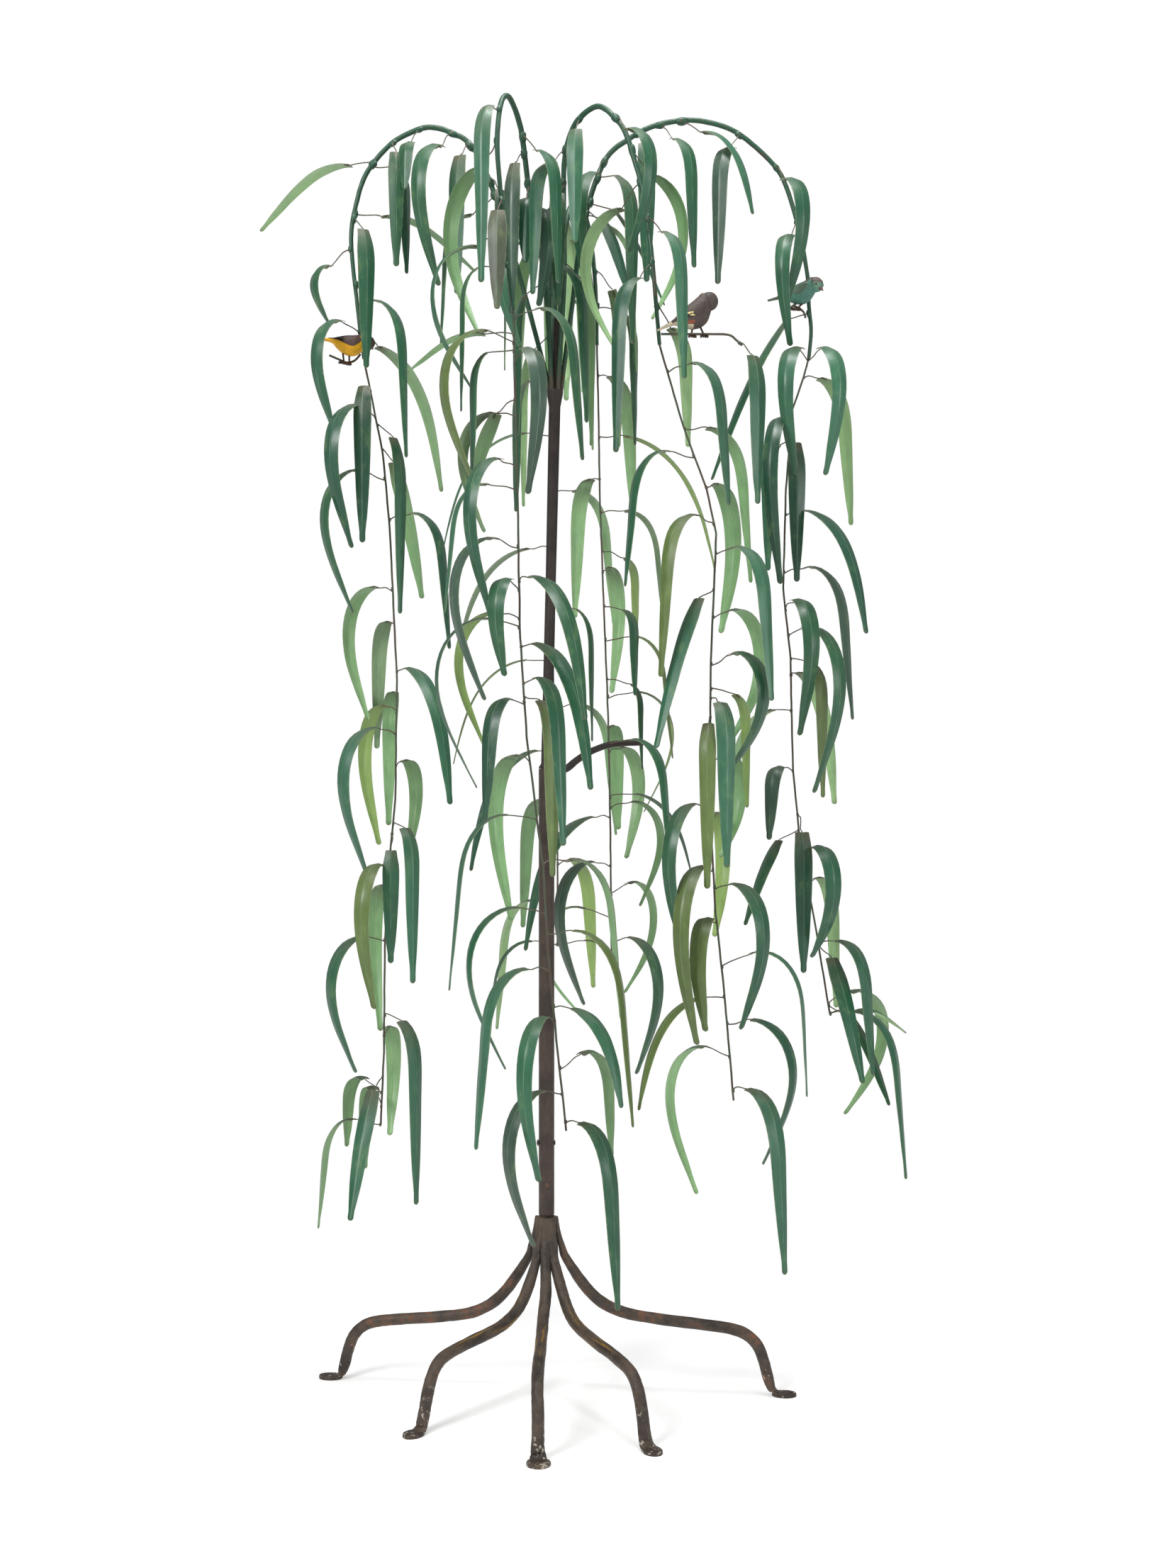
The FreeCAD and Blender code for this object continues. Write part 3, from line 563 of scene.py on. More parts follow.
# The bend into each foot: out along the plate, up, half width, half depth, as shares of the plate and the bar
FOOT_BENDS = ((0.05, 1.75, 1.20, 0.85), (0.16, 1.0, 1.34, 0.60), (0.30, 0.66, 1.42, 0.38),
              (0.42, 0.52, 1.30, 0.26))
# A foot plate's section: shares of the way from its hole to its rim, and of its thickness
PLATE_SECTION = ((0, 0.0), (0, 0.8), (0.06, 1.0), (0.35, 0.93), (0.7, 0.97), (0.90, 0.92), (0.975, 0.72),
                 (1.0, 0.42), (0.99, 0.1), (0.96, 0.0))
# The front foot was beaten out wider than the other four
FRONT_PAD_SPREAD = 1.25


def leg_headings():
    """Each leg's name, its level way out from the post, and its screw hole's middle and radius."""
    rows = []
    for mount in frame["record"]["mounts"]:
        if mount["kind"] == "bore":
            hole = Vector(mount["pos_m"])
            out = Vector((hole.x - POST_MIDDLE.x, hole.y - POST_MIDDLE.y, 0)).normalized()
            rows.append((mount["name"].replace("foot_screw_", ""), out, hole, mount["dims"]["r_mm"] / 1000))
    return rows


def from_post(place):
    return hypot(place.x - POST_MIDDLE.x, place.y - POST_MIDDLE.y)


def hub_profile():
    """The hub's height and radius, from its underside to its top."""
    profile = {}
    for place in corners_of(solids_of("base_hub")[0]):
        if place.z < POST_LOW.z:
            height = round(place.z, 5)
            profile[height] = max(profile.get(height, 0), from_post(place))
    return sorted(profile.items())


def cone_radius(cone, height):
    (low, wide), (high, narrow) = cone[1], cone[-2]
    return wide + (narrow - wide) * min(max((height - low) / (high - low), -0.1), 1)


def plate_at(hole):
    """The corners of the foot plate that has this screw hole."""
    plates = [corners_of(solid) for solid in solids_of("foot_plates")]
    return min(plates, key=lambda places: min((place - hole).length for place in places))


def make_leg(name, out, hole, material, seed):
    """A leg: forged from round bar, flattened where it is welded round the hub and again towards its foot."""
    node = "leg_" + name
    across = out.cross(UP)
    rings = full_rings(solids_of(node)[0], furthest(node, UP), LEG_RING)
    line = [middle_of(ring) for ring in rings]
    halves = []
    for ring, place, way in zip(rings, line, ways_along(line)):
        over = across.cross(way)
        wide, tall = (max(abs((point - place).dot(side)) for point in ring) for side in (across, over))
        halves.append(Vector((wide, tall, 0)) / cos(pi / LEG_RING))
    distances = lengths_along(line)
    down, inward, aside = LEG_BOWS[name]
    for k, far in enumerate(distances):
        share = far / distances[-1]
        bow = ease(share, 0.10, 0.42) * (1 - 0.75 * ease(share, 0.80, 1.0))
        line[k] = line[k] - UP * (down * bow) - out * (inward * bow) + across * (aside * bow)
    cone = hub_profile()
    bars, bar_halves = [], []
    for share, off in reversed(HUB_BARS):
        height = cone[0][0] + (cone[-1][0] - cone[0][0]) * share
        deep = HUB_BAR_DEPTH * (1.15 - 0.4 * share)
        wide = cone_radius(cone, height) * HUB_BAR_WIDTH * (0.94 - 0.2 * (1 - share))
        bars.append(POST_MIDDLE + out * (cone_radius(cone, height) + off - deep * 0.9) + UP * height)
        bar_halves.append(Vector((wide, deep, 0)))
    full = max(half.x for half in halves[4:8])
    line, halves = bars + line[1:], bar_halves + halves[1:]
    for k, share in enumerate((0.90, 0.95, 1.0)):
        halves[len(bars) + k] = Vector((full * share, full * (0.72 + 0.12 * k), 0))
    plate = plate_at(hole)
    reach, top = [(place - POST_MIDDLE).dot(out) for place in plate], max(place.z for place in plate)
    for share, rise, wide, tall in FOOT_BENDS:
        line.append(POST_MIDDLE + out * (min(reach) + (max(reach) - min(reach)) * share) + UP * top * rise)
        halves.append(Vector((full * wide, top * tall, 0)))
    line, halves = rounded(line, 6), rounded(halves, 6)
    wobble = Vector((seed, 0, 0))
    for k in range(30, len(line) - 6):
        line[k] = line[k] + across * 0.0012 * noise.noise(line[k] * 24 + wobble)
        halves[k] = halves[k] * (1 + 0.05 * noise.noise(line[k] * 55 + wobble))
    shape = Shape()
    flat = [(across, half.y / half.x) for half in halves]
    add_rod(shape, line, [half.x for half in halves], 20, seed, 0.05, flat)
    shape.piece(node + "_forged", material, node)


def make_foot_plates(material):
    """The flattened feet: dished ovals with rounded edges, each with its screw hole."""
    shape = Shape()
    sides = 40
    for name, out, hole, hole_radius in leg_headings():
        across = out.cross(UP)
        places = plate_at(hole)
        reach, side = [place.dot(out) for place in places], [place.dot(across) for place in places]
        top = max(place.z for place in places)
        middle = out * ((max(reach) + min(reach)) / 2) + across * ((max(side) + min(side)) / 2)
        half_long, half_wide = (max(reach) - min(reach)) / 2, (max(side) - min(side)) / 2
        half_wide *= FRONT_PAD_SPREAD if name == "front" else 1
        centre = Vector((hole.x, hole.y, 0))
        points, sheet, look = [], [], []
        for (share, rise), (angle, x, y) in itertools.product(PLATE_SECTION, circle(sides)):
            bulge = 1 + 0.03 * noise.noise(Vector((x, y, hole.x * 9)) * 1.5)
            rim = middle + (out * x * half_long + across * y * half_wide) * min(bulge, 1)
            bore = centre + (out * x + across * y) * hole_radius
            spot = bore.lerp(rim, share)
            uneven = 0.06 * noise.noise(spot * 160) if 0 < share < 1 and rise > 0.5 else 0
            points.append(Vector((spot.x, spot.y, top * min(rise + uneven, 1))))
            sheet.append((angle * half_wide, share * half_long, hole.x))
            look.append((1.0, x, y))
        rows = len(PLATE_SECTION)
        last = (rows - 1) * sides
        faces = skin_faces(rows, sides, False)
        faces += [(last + j, last + (j + 1) % sides, (j + 1) % sides, j) for j in range(sides)]
        shape.add(points, faces, sheet=sheet, look=look)
    shape.piece("foot_plates_forged", material, "foot_plates")


def make_hub(material):
    """The hub's core behind the welded bars: a cone with a weathered, bevelled rim, and the spigot on it."""
    cone = hub_profile()
    low, high = cone[0][0], cone[-1][0]
    hub = corners_of(solids_of("base_hub")[0])
    spigot = min(from_post(place) for place in hub if high - 1e-4 < place.z < POST_LOW.z)
    headings = [atan2(out.y, out.x) for name, out, hole, radius in leg_headings()]
    rows = [(low, 0.001), (low, 0.55), (low + 0.001, 0.72)]
    shares = (0.08, 0.2, 0.32, 0.44, 0.56, 0.68, 0.8, 0.88, 0.94)
    rows += [(low + (high - low) * share, 1.0) for share in shares]
    rows += [(high - 0.0012, 0.985), (high - 0.0003, 0.94), (high, 0.88), (high, 0.80)]
    rows += [(high, None), (POST_LOW.z + 0.004, None)]
    sides = 96
    points, sheet, look = [], [], []
    for (height, share), (angle, x, y) in itertools.product(rows, circle(sides)):
        radius, rise = spigot, 0.0
        if share is not None:
            away = min(abs((angle - heading + pi) % (2 * pi) - pi) for heading in headings)
            rise = (height - low) / (high - low)
            shy = HUB_BAR_DEPTH * (1.7 - 1.45 * ease(rise, 0.05, 0.95)) * (1 if away < 1.0 else 0.3)
            weld = 0.0007 * noise.noise(Vector((x * 2.4, y * 2.4, height * 130)))
            radius = max((cone_radius(cone, height) - shy) * share + weld * min(share * 2 - 0.6, 1), 0.0008)
        points.append(POST_MIDDLE + Vector((x * radius, y * radius, height)))
        sheet.append((angle * 0.02, height, 3.0))
        look.append((0.0, x, rise))
    shape = Shape()
    shape.add(points, skin_faces(len(rows), sides), sheet=sheet, look=look)
    shape.piece("base_hub_forged", material, "base_hub", crease=30)


def make_post(material):
    """The post: drawn tube, a little dented, with a small bevel at each end."""
    radius, spans = (POST_HIGH.x - POST_LOW.x) / 2, 60
    run = POST_HIGH.z - POST_LOW.z - 2 * POST_BEVEL
    heights = [POST_LOW.z + POST_BEVEL + run * k / spans for k in range(spans + 1)]
    heights = [POST_LOW.z] * 2 + heights + [POST_HIGH.z] * 2
    radii = [radius * 0.82, radius - POST_BEVEL] + [radius] * (spans + 1)
    radii += [radius - POST_BEVEL * 0.3, radius * 0.7]
    shape = Shape()
    line = [POST_MIDDLE + UP * height for height in heights]
    add_rod(shape, line, radii, 48, 5.0, 0.012, ways=[UP] * len(line))
    shape.piece("post_tube_painted", material, "post_tube")


def make_turned(node, ending, start, way, material, sides):
    """A turned piece from the rings of its CAD solid."""
    line, radii = course_of(node, start, TURNED_RING)
    shape = Shape()
    add_rod(shape, line, radii, sides, 7.0, 0.01, ways=[way] * len(line))
    shape.piece(node + ending, material, node, crease=30)


def make_side_branch(material):
    """The brown side branch, let into the side of the post, with a squared end."""
    node, fall, swell = "side_branch", 0.011, 0.0008
    line, radii = course_of(node, furthest(node, Vector((1, 0, 0))), BRANCH_RING)
    line.append(POST_MIDDLE + UP * (line[-1].z - fall))
    radii.append(radii[-1])
    line[0] += (line[0] - line[1]).normalized() * swell
    line, radii = rounded(line, 5), rounded(radii, 5)
    radii[0] *= 0.9
    shape = Shape()
    add_rod(shape, line, radii, 18, 9.0, 0.06)
    shape.piece(node + "_painted", material, node)


# The crown

def make_rod(node, ending, start, size, material, sides, seed, parts=3):
    """A rod or wire along its CAD middle line, with a drop of solder wherever a stem leaves it."""
    line, radii = course_of(node, start, size)
    if parts:
        line, radii = rounded(line, parts), rounded(radii, parts)
    else:
        line = divided(line, 0.012)
        radii = [radii[0]] * len(line)
        line[1:-1] = [spot + noise.noise_vector(spot * 45) * STRAND_WAVER for spot in line[1:-1]]
    shape = Shape()
    add_rod(shape, line, [radius * 0.94 for radius in radii], sides, seed, 0.10)
    ways = ways_along(line)
    for k, place in enumerate(roots.get(node, ())):
        near = min(range(len(line)), key=lambda i: (line[i] - place).length)
        fat = max(radii[near] * 1.25, 0.0017) * (1 + 0.35 * noise.noise(place * 300))
        add_drop(shape, place.lerp(line[near], 0.55), ways[near], fat, fat * 1.7, k + seed)
    shape.piece(node + ending, material, node)


def blade_sections(solid, start):
    """For each section of a CAD blade: its middle, its ways across and over, and half its width."""
    middles, sections = [], []
    for ring in rings_of(solid, start, BLADE_RING):
        pair = min(itertools.combinations(range(4), 2), key=lambda ij: (ring[ij[0]] - ring[ij[1]]).length)
        sides = [ring[k] for k in range(4) if k not in pair]
        middles.append((ring[pair[0]] + ring[pair[1]]) / 2)
        sections.append((sides[1] - sides[0], middles[-1] - (sides[0] + sides[1]) / 2))
    made = []
    for k, (across, over) in enumerate(sections):
        ahead = middles[min(k + 1, len(middles) - 1)] - middles[max(k - 1, 0)]
        if over.cross(across).dot(ahead) < 0:
            across = across * -1
        made.append((middles[k], across.normalized(), over.normalized(), across.length / 2))
    return made


def hermite(a, b, slope_a, slope_b, t):
    """The smooth value between two, with their slopes over the whole step."""
    return (a * (2 * t ** 3 - 3 * t ** 2 + 1) + slope_a * (t ** 3 - 2 * t ** 2 + t)
            + b * (3 * t ** 2 - 2 * t ** 3) + slope_b * (t ** 3 - t ** 2))


def blade_course(sections, distances, shares):
    """A blade's middle line, ways and half widths at shares of its length."""
    last = len(sections) - 1
    slopes = []
    for k in range(last + 1):
        low, high = max(k - 1, 0), min(k + 1, last)
        slopes.append((sections[high][3] - sections[low][3]) / (distances[high] - distances[low]))
    rows = []
    for share in shares:
        far = share * distances[-1]
        i = max(k for k in range(last) if distances[k] <= far + 1e-9)
        step = distances[i + 1] - distances[i]
        t = min((far - distances[i]) / step, 1)
        (a, across_a, over_a, half_a), (b, across_b, over_b, half_b) = sections[i], sections[i + 1]
        way_a, way_b = over_a.cross(across_a) * step * 1.02, over_b.cross(across_b) * step * 1.02
        half = hermite(half_a, half_b, slopes[i] * step, slopes[i + 1] * step, t)
        across, over = across_a.lerp(across_b, t).normalized(), over_a.lerp(over_b, t).normalized()
        rows.append((hermite(a, b, way_a, way_b, t), across, over, half))
    return rows


GREENS = [colour(38, 90, 63), colour(44, 98, 69), colour(32, 77, 56), colour(54, 105, 78), colour(42, 88, 60)]
PALES = [colour(148, 190, 134), colour(132, 174, 120), colour(158, 196, 138), colour(120, 160, 108)]
KIND_COLOURS = {
    "olive": (colour(92, 112, 58), colour(148, 178, 102)),
    "grey": (colour(58, 84, 68), colour(128, 156, 116)),
    "brown": (colour(74, 82, 66), colour(112, 122, 94)),
}


def blade_faces(count, wide):
    """A blade's faces: its outside and inside sheets and its rim, with 1, 0 and a half for where they are."""
    faces, outer = [], []
    under, last = count * wide, (count - 1) * wide
    for i, j in itertools.product(range(count - 1), range(wide - 1)):
        a = i * wide + j
        d = a + wide
        faces += [(a, d, d + 1, a + 1), (under + a, under + a + 1, under + d + 1, under + d)]
        outer += [1.0, 0.0]
    for k in range(0, last, wide):
        a, b = k + wide - 1, k + 2 * wide - 1
        faces += [(k, under + k, under + k + wide, k + wide), (a, b, under + b, under + a)]
    for j in range(wide - 1):
        tip = last + j
        faces += [(j, j + 1, under + j + 1, under + j), (tip, under + tip, under + tip + 1, tip + 1)]
    outer += [0.5] * (len(faces) - len(outer))
    return faces, outer


def add_blade(shape, solid, start, chance, kind, trim):
    """A leaf's blade: thin folded sheet with a raised middle, a notched top end and a rounded tip."""
    sections = blade_sections(solid, start)
    distances = lengths_along([section[0] for section in sections])
    whole = distances[-1]
    round_from = 1 - TIP_ROUND / whole
    shares = [round_from * k / BLADE_ROWS for k in range(BLADE_ROWS + 1)]
    shares += [round_from + (1 - round_from) * sin(pi / 2 * k / TIP_ROWS) for k in range(1, TIP_ROWS + 1)]
    rows = blade_course(sections, distances, shares)
    flare, fold_share, cup = chance.uniform(0.78, 1.04), chance.uniform(0.7, 1.1), chance.uniform(-0.2, 0.35)
    roll, phase, number = chance.uniform(-0.05, 0.05), chance.uniform(0, 6.28), chance.uniform(0, 60)
    tone, slim = chance.uniform(0.3, 0.9), chance.uniform(0.84, 1.0) * trim
    paint, back = KIND_COLOURS.get(kind, (chance.choice(GREENS), chance.choice(PALES)))
    light = chance.uniform(0.86, 1.14)
    paint, back = tuple(c * light for c in paint), tuple(c * light for c in back)
    points, sheet, look = [], [], []
    for layer, (share, (place, across, over, half)) in itertools.product((1, -1), zip(shares, rows)):
        half = max(half * slim, TIP_HALF_WIDTH * trim) * (1 + (flare - 1) * max(0, 1 - share / 0.14))
        fold = 0.0036 * half / 0.013 * fold_share
        if share > round_from:
            half *= sqrt(max(1 - ((share - round_from) / (1 - round_from)) ** 2, 0.012))
        turn = roll * sin(phase + share * 7) * min(share * 5, 1)
        across, over = (across * cos(turn) + over * sin(turn),
                        over * cos(turn) - across * sin(turn))
        way = over.cross(across)
        for u in BLADE_COLUMNS:
            x = abs(u)
            fall = fold * ((sqrt(x * x + 0.012) - 0.1095) / 0.8965 + cup * (x - x * x))
            ripple = 0.0005 * x * noise.noise(Vector((share * 6 + number, u * 2, 0)))
            spot = place + across * (half * u) + over * (ripple - fall + layer * SHEET_THICKNESS / 2)
            if share < 0.02:
                spot -= way * (NOTCH_DEPTH * (min(x / 0.62, 1) - 0.35 * max(x - 0.62, 0) / 0.38))
            points.append(spot)
            sheet.append((half * u + layer * 0.3, share * whole, number))
            look.append((share, u, tone))
    faces, outer = blade_faces(len(shares), len(BLADE_COLUMNS))
    colours = {"paint": [paint] * len(points), "back": [back] * len(points)}
    shape.add(points, faces, {"outer": outer}, sheet=sheet, look=look, **colours)
    return rows


def add_stem(shape, root, rows, chance):
    """A leaf's stem: thin bent wire from its rod, that runs on under the blade's fold, with solder."""
    top, across, over, half = rows[0]
    way_in = over.cross(across)
    lap = [row for row in rows if (row[0] - top).length < STEM_LAP][-1]
    under = SHEET_THICKNESS / 2 + 0.0009
    direct = top - root
    side = direct.cross(UP).normalized() if direct.cross(UP).length > 1e-6 else across
    bend = side * chance.uniform(-0.003, 0.003) + UP * chance.uniform(-0.002, 0.004)
    line = [root - direct.normalized() * 0.0012, root + direct * 0.3 + bend,
            root + direct * 0.72 - bend * 0.3, top - way_in * 0.002 - over * under,
            top + way_in * 0.0015 - over * under, lap[0] - lap[2] * under]
    line = rounded(line, 4)
    radii = [STEM_RADIUS * (1.15 - 0.3 * k / (len(line) - 1)) for k in range(len(line))]
    number = chance.uniform(0, 40)
    add_rod(shape, line, radii, 6, number, 0.15)
    add_drop(shape, top + way_in * 0.003 - over * under, way_in, 0.0014, 0.0032, number)


def make_leaves(group, blade_node, stem_node):
    """A branch's or strand's leaves and stems. Returns where each stem leaves the rod."""
    solids = [solid for node in dict.fromkeys((blade_node, stem_node)) for solid in solids_of(node)]
    blades = [solid for solid in solids if len(solid) > STEM_CORNERS]
    stems = []
    for places in (corners_of(solid) for solid in solids if len(solid) == STEM_CORNERS):
        far = max(places, key=lambda place: (place - places[0]).length)
        stems.append([middle_of(sorted(places, key=lambda place: (place - end).length)[:3])
                      for end in (places[0], far)])
    pairs = []
    for blade in blades:
        least, i, k = min((min((spot - end).length for spot in corners_of(blade)), i, k)
                          for i, ends in enumerate(stems) for k, end in enumerate(ends))
        pairs.append((stems[i][1 - k], stems[i][k], blade))
    pairs.sort(key=lambda pair: -pair[0].z)
    leaf_shape, stem_shape = Shape(), Shape()
    for rank, (root, end, blade) in enumerate(pairs):
        chance = random.Random(group + str(rank))
        kind, trim = LEAF_KINDS.get(group, {}).get(rank), TRIMMED.get(group, {}).get(rank, 1)
        rows = add_blade(leaf_shape, blade, end, chance, kind, trim)
        add_stem(stem_shape, root, rows, chance)
    leaf_shape.piece(group + "_leaves_painted", leaf_material, blade_node)
    replaced = [stem_node] if stem_node != blade_node else []
    stem_shape.piece(group + "_stems_wire", stem_material, blade_node, "stems", replaced)
    return [root for root, end, blade in pairs]


# The birds

# The ring that the head sits on, and how much narrower the body ends there
NECK_RING, NECK_SHARE = 8, 0.70
# Each wing bar's share along the bird, its place down the side in degrees, and its size
WING_BARS = ((0.385, 62, 0.040), (0.455, 73, 0.040), (0.475, 88, 0.028))
# Where a beak's sections lie along it, and their radii
BEAK_PLACES = (0, 0.25, 0.5, 0.75, 0.92, 1)
BEAK_RADII = (0.0031, 0.0028, 0.0021, 0.0013, 0.0006, 0.0002)
# Each toe: how far beside the hook it runs, and how far on past its end
TOES = ((-0.0031, 0.0035), (0.0029, 0.0030), (0.0056, 0.0016))


class Bird:
    """A bird's CAD rings as a frame: its tail tip, its ways along, across and over, and its sections."""

    def __init__(self, node):
        rings = rings_of(solids_of(node)[0], furthest(node, Vector((-1, 0, 0))), BIRD_RING)
        middle = middle_of(rings[5])
        pairs = itertools.combinations(rings[5], 2)
        best = max(pairs, key=lambda pair: (pair[0] - middle).cross(pair[1] - middle).length)
        normal = (best[0] - middle).cross(best[1] - middle).normalized()
        self.way = normal if normal.x > 0 else -normal
        self.across = self.way.cross(UP).normalized()
        self.over = self.across.cross(self.way)
        self.tail = middle_of(rings[0])
        self.length = (middle_of(rings[-1]) - self.tail).dot(self.way)
        self.sections = []
        for ring in rings:
            middle = middle_of(ring)
            wide = max(abs((point - middle).dot(self.across)) for point in ring)
            tall = max(abs((point - middle).dot(self.over)) for point in ring) / sin(radians(72))
            place = middle - self.tail
            self.sections.append((place.dot(self.way), place.dot(self.over), wide, tall))

    def spot(self, along, side, height):
        return self.tail + self.way * along + self.across * side + self.over * height


def wing_mask(share, angle):
    """1 on a folded wing, 0 off it. The angle is from the back, in degrees."""
    t = (share - 0.17) / 0.55
    if not 0 < t < 1:
        return 0.0
    centre = 48 + 26 * t
    half = 40 * sin(pi * min(t * 0.62 + 0.06, 1)) ** 0.8 * min(1, (1 - t) * 5) ** 0.5
    return ease(half - abs(angle - centre), 0, 9)


def bar_mask(share, angle):
    """Three slanting dashes across the lower part of a wing."""
    total = 0.0
    for place, down, size in WING_BARS:
        x = (share - place) / size
        slant = (angle - down) / 4.6 - x * 0.9
        total = max(total, ease(1.2 - hypot(x * 0.8, slant), 0, 0.35))
    return total


def make_bird_body(bird, node, material):
    """A bird's body: breast, back, folded wings in relief, and a flat tail with a few feathers."""
    around, parts = 72, 9
    body = bird.sections[:NECK_RING + 1]
    flat = [Vector((along, height, 0)) for along, height, wide, tall in body]
    size = [Vector((wide, tall, 0)) for along, height, wide, tall in body]
    size[-1] *= NECK_SHARE
    flat, size = rounded(flat, parts), rounded(size, parts)
    points, sheet, zone, mark, rear = [], [], [], [], []
    for (where, half), (turn, x, y) in itertools.product(zip(flat, size), circle(around)):
        share = where.x / bird.length
        angle = degrees(abs((turn + pi) % (2 * pi) - pi))
        wing = wing_mask(share, angle)
        groove = sin(angle * 0.55 + share * 9) * ease(0.55 - share, 0, 0.2)
        scallop = sin(share * 95) * cos(angle * 0.28) * ease(share - 0.4, 0, 0.1)
        lift = wing * (0.0011 + 0.0002 * groove + 0.00012 * scallop)
        tail = ease(0.26 - share, 0, 0.1)
        lift += tail * 0.0002 * cos(angle * 0.22)
        side, height = y * half.x, x * half.y
        outward = Vector((side / max(half.x, 1e-6), height / max(half.y, 1e-6), 0)).normalized()
        points.append(bird.spot(where.x, side + outward.x * lift, where.y + height + outward.y * lift))
        sheet.append((where.x, radians(angle) * half.y, 0.02 if side > 0 else 0.0))
        zone.append((wing, wing * ease(0.50 - share, 0, 0.14), wing * bar_mask(share, angle)))
        mark.append((tail, ease(angle, 88, 118), ease(62 - angle, 0, 26)))
        fire = ease(angle, 106, 116) * ease(134 - angle, 0, 12)
        fire *= ease(share, 0.36, 0.41) * ease(0.53 - share, 0, 0.08)
        under = max(ease(angle, 96, 116) * ease(0.42 - share, 0, 0.06),
                    ease(angle, 124, 138) * ease(0.52 - share, 0, 0.1))
        rear.append((wing * ease(angle, 62, 76) * ease(0.56 - share, 0, 0.1), fire,
                     max(under, ease(0.24 - share, 0, 0.06) * ease(angle, 40, 62))))
    shape = Shape()
    shape.add(points, skin_faces(len(flat), around), sheet=sheet, zone=zone, mark=mark, rear=rear)
    shape.piece(node + "_body", material, node)


def make_bird_head(bird, node, material, details, turn, nod):
    """A bird's head: a ball with cheeks, turned by some degrees, with a short beak and two eyes."""
    beak_material, eye_material, ring_material = details
    along, height, wide, tall = bird.sections[NECK_RING]
    centre = bird.spot(along - 0.001, 0, height - 0.0005)
    radius = (wide + tall) / 2 * 1.04
    narrow, low = 0.95, 0.98
    face = Matrix.Rotation(radians(turn), 3, bird.over) @ bird.way
    side = face.cross(bird.over).normalized()
    face = Matrix.Rotation(radians(nod), 3, side) @ face
    top = side.cross(face)
    rows, around = 22, 36
    points, sheet, zone, mark = [], [], [], []
    for i, (angle, ahead, aside) in itertools.product(range(rows), circle(around)):
        down = pi * (i + 0.5) / rows
        x, y, z = sin(down) * ahead, sin(down) * aside, cos(down)
        swell = 1 + 0.05 * ease(x, 0.2, 1) * ease(-z + 0.5, 0, 1)
        swell -= 0.05 * ease(z, 0.6, 1)
        points.append(centre + (face * x + side * y * narrow + top * z * low) * radius * swell)
        sheet.append((x * radius, z * radius, y * radius))
        cap = ease(z + 0.35 * -x, 0.12, 0.42)
        cheek = ease(x * 0.6 + abs(y) * 0.5 - abs(z) * 0.7, 0.2, 0.6)
        zone.append((0.0, 0.0, 0.0))
        mark.append((cap, cheek, 1.0 - ease(z, -0.5, 0.0)))
    head, beak, eyes, rings = Shape(), Shape(), Shape(), Shape()
    head.add(points, skin_faces(rows, around), sheet=sheet, zone=zone, mark=mark)
    head.piece(node + "_head", material, node, nodes=(), crease=60)
    start = centre + face * radius * 0.86 - top * radius * 0.12
    line = [start + face * (0.0085 * t) - top * (0.0016 * t * t) for t in BEAK_PLACES]
    add_rod(beak, line, BEAK_RADII, 16, 1.0, 0.02, [(side, 0.85)] * len(line))
    beak.piece(node + "_beak", beak_material, node, nodes=())
    for hand in (1, -1):
        out = (face * 0.62 + side * hand * 0.72 + top * 0.22).normalized()
        place = face * out.dot(face) + side * out.dot(side) * narrow + top * out.dot(top) * low
        place = centre + place * radius * 0.97
        add_drop(eyes, place, out, 0.0016, 0.0013, 0.0)
        level = out.orthogonal().normalized()
        other = out.cross(level)
        loop = [place + (level * x + other * y) * 0.0020 + out * 0.0003 for angle, x, y in circle(16)]
        add_rod(rings, loop + loop[:1], [0.00045] * 17, 6, 0.0)
    eyes.piece(node + "_eyes", eye_material, node, nodes=())
    rings.piece(node + "_eye_rings", ring_material, node, nodes=())


def make_bird_feet(node, material):
    """A bird's two feet: wire that hooks round the twig, with thin toes beside it."""
    shape = Shape()
    for number, solid in enumerate(solids_of(node)):
        top = max(corners_of(solid), key=lambda place: place.z)
        line = [middle_of(ring) for ring in full_rings(solid, top, WIRE_RING)]
        line[0] += UP * 0.0015
        full = rounded(line, 5)
        add_rod(shape, full, [TOE_RADIUS] * len(full), 8, number, 0.15)
        hook = full[len(full) // 3:]
        along = (hook[0] - hook[-1]).cross(UP).normalized()
        for shift, reach in TOES:
            toe = [spot + along * shift * min(k / 4, 1) for k, spot in enumerate(hook)]
            toe.append(toe[-1] + (toe[-1] - toe[-2]).normalized() * reach - UP * 0.0012)
            radii = [TOE_RADIUS - 0.0006 * k / (len(toe) - 1) for k in range(len(toe))]
            add_rod(shape, toe, radii, 8, number + shift, 0.2)
            add_drop(shape, toe[len(toe) // 3], along, 0.0019, 0.0015, shift * 900)
    shape.piece(node + "_wire", material, node)


# Building it all

leaf_material = leaf_paint()
branch_material = wire_paint("branch_paint", (38, 84, 62), (80, 60, 48), 0.34, 0.58)
strand_material = wire_paint("strand_paint", (70, 84, 66), (84, 66, 54), 0.46, 0.58)
stem_material = wire_paint("stem_paint", (82, 88, 70), (92, 76, 62), 0.48, 0.60)
leg_material = iron_paint("leg_iron", (50, 41, 36), (86, 73, 62), 0.60, yellow=True, chips=True)
side_leg_material = iron_paint("side_leg_iron", (50, 41, 36), (86, 73, 62), 0.50, chips=True)
hub_material = iron_paint("hub_iron", (54, 43, 36), (96, 80, 66), 0.54, 40)
post_material = iron_paint("post_iron", (52, 41, 36), (76, 62, 54), 0.66, 16)
trunk_material = iron_paint("trunk_iron", (34, 27, 25), (56, 46, 42), 0.72, 20)
pin_material = iron_paint("pin_iron", (50, 40, 35), (92, 70, 56), 0.50, 90)
feet_material = iron_paint("bird_feet_iron", (44, 30, 22), (84, 58, 40), 0.5, 300)

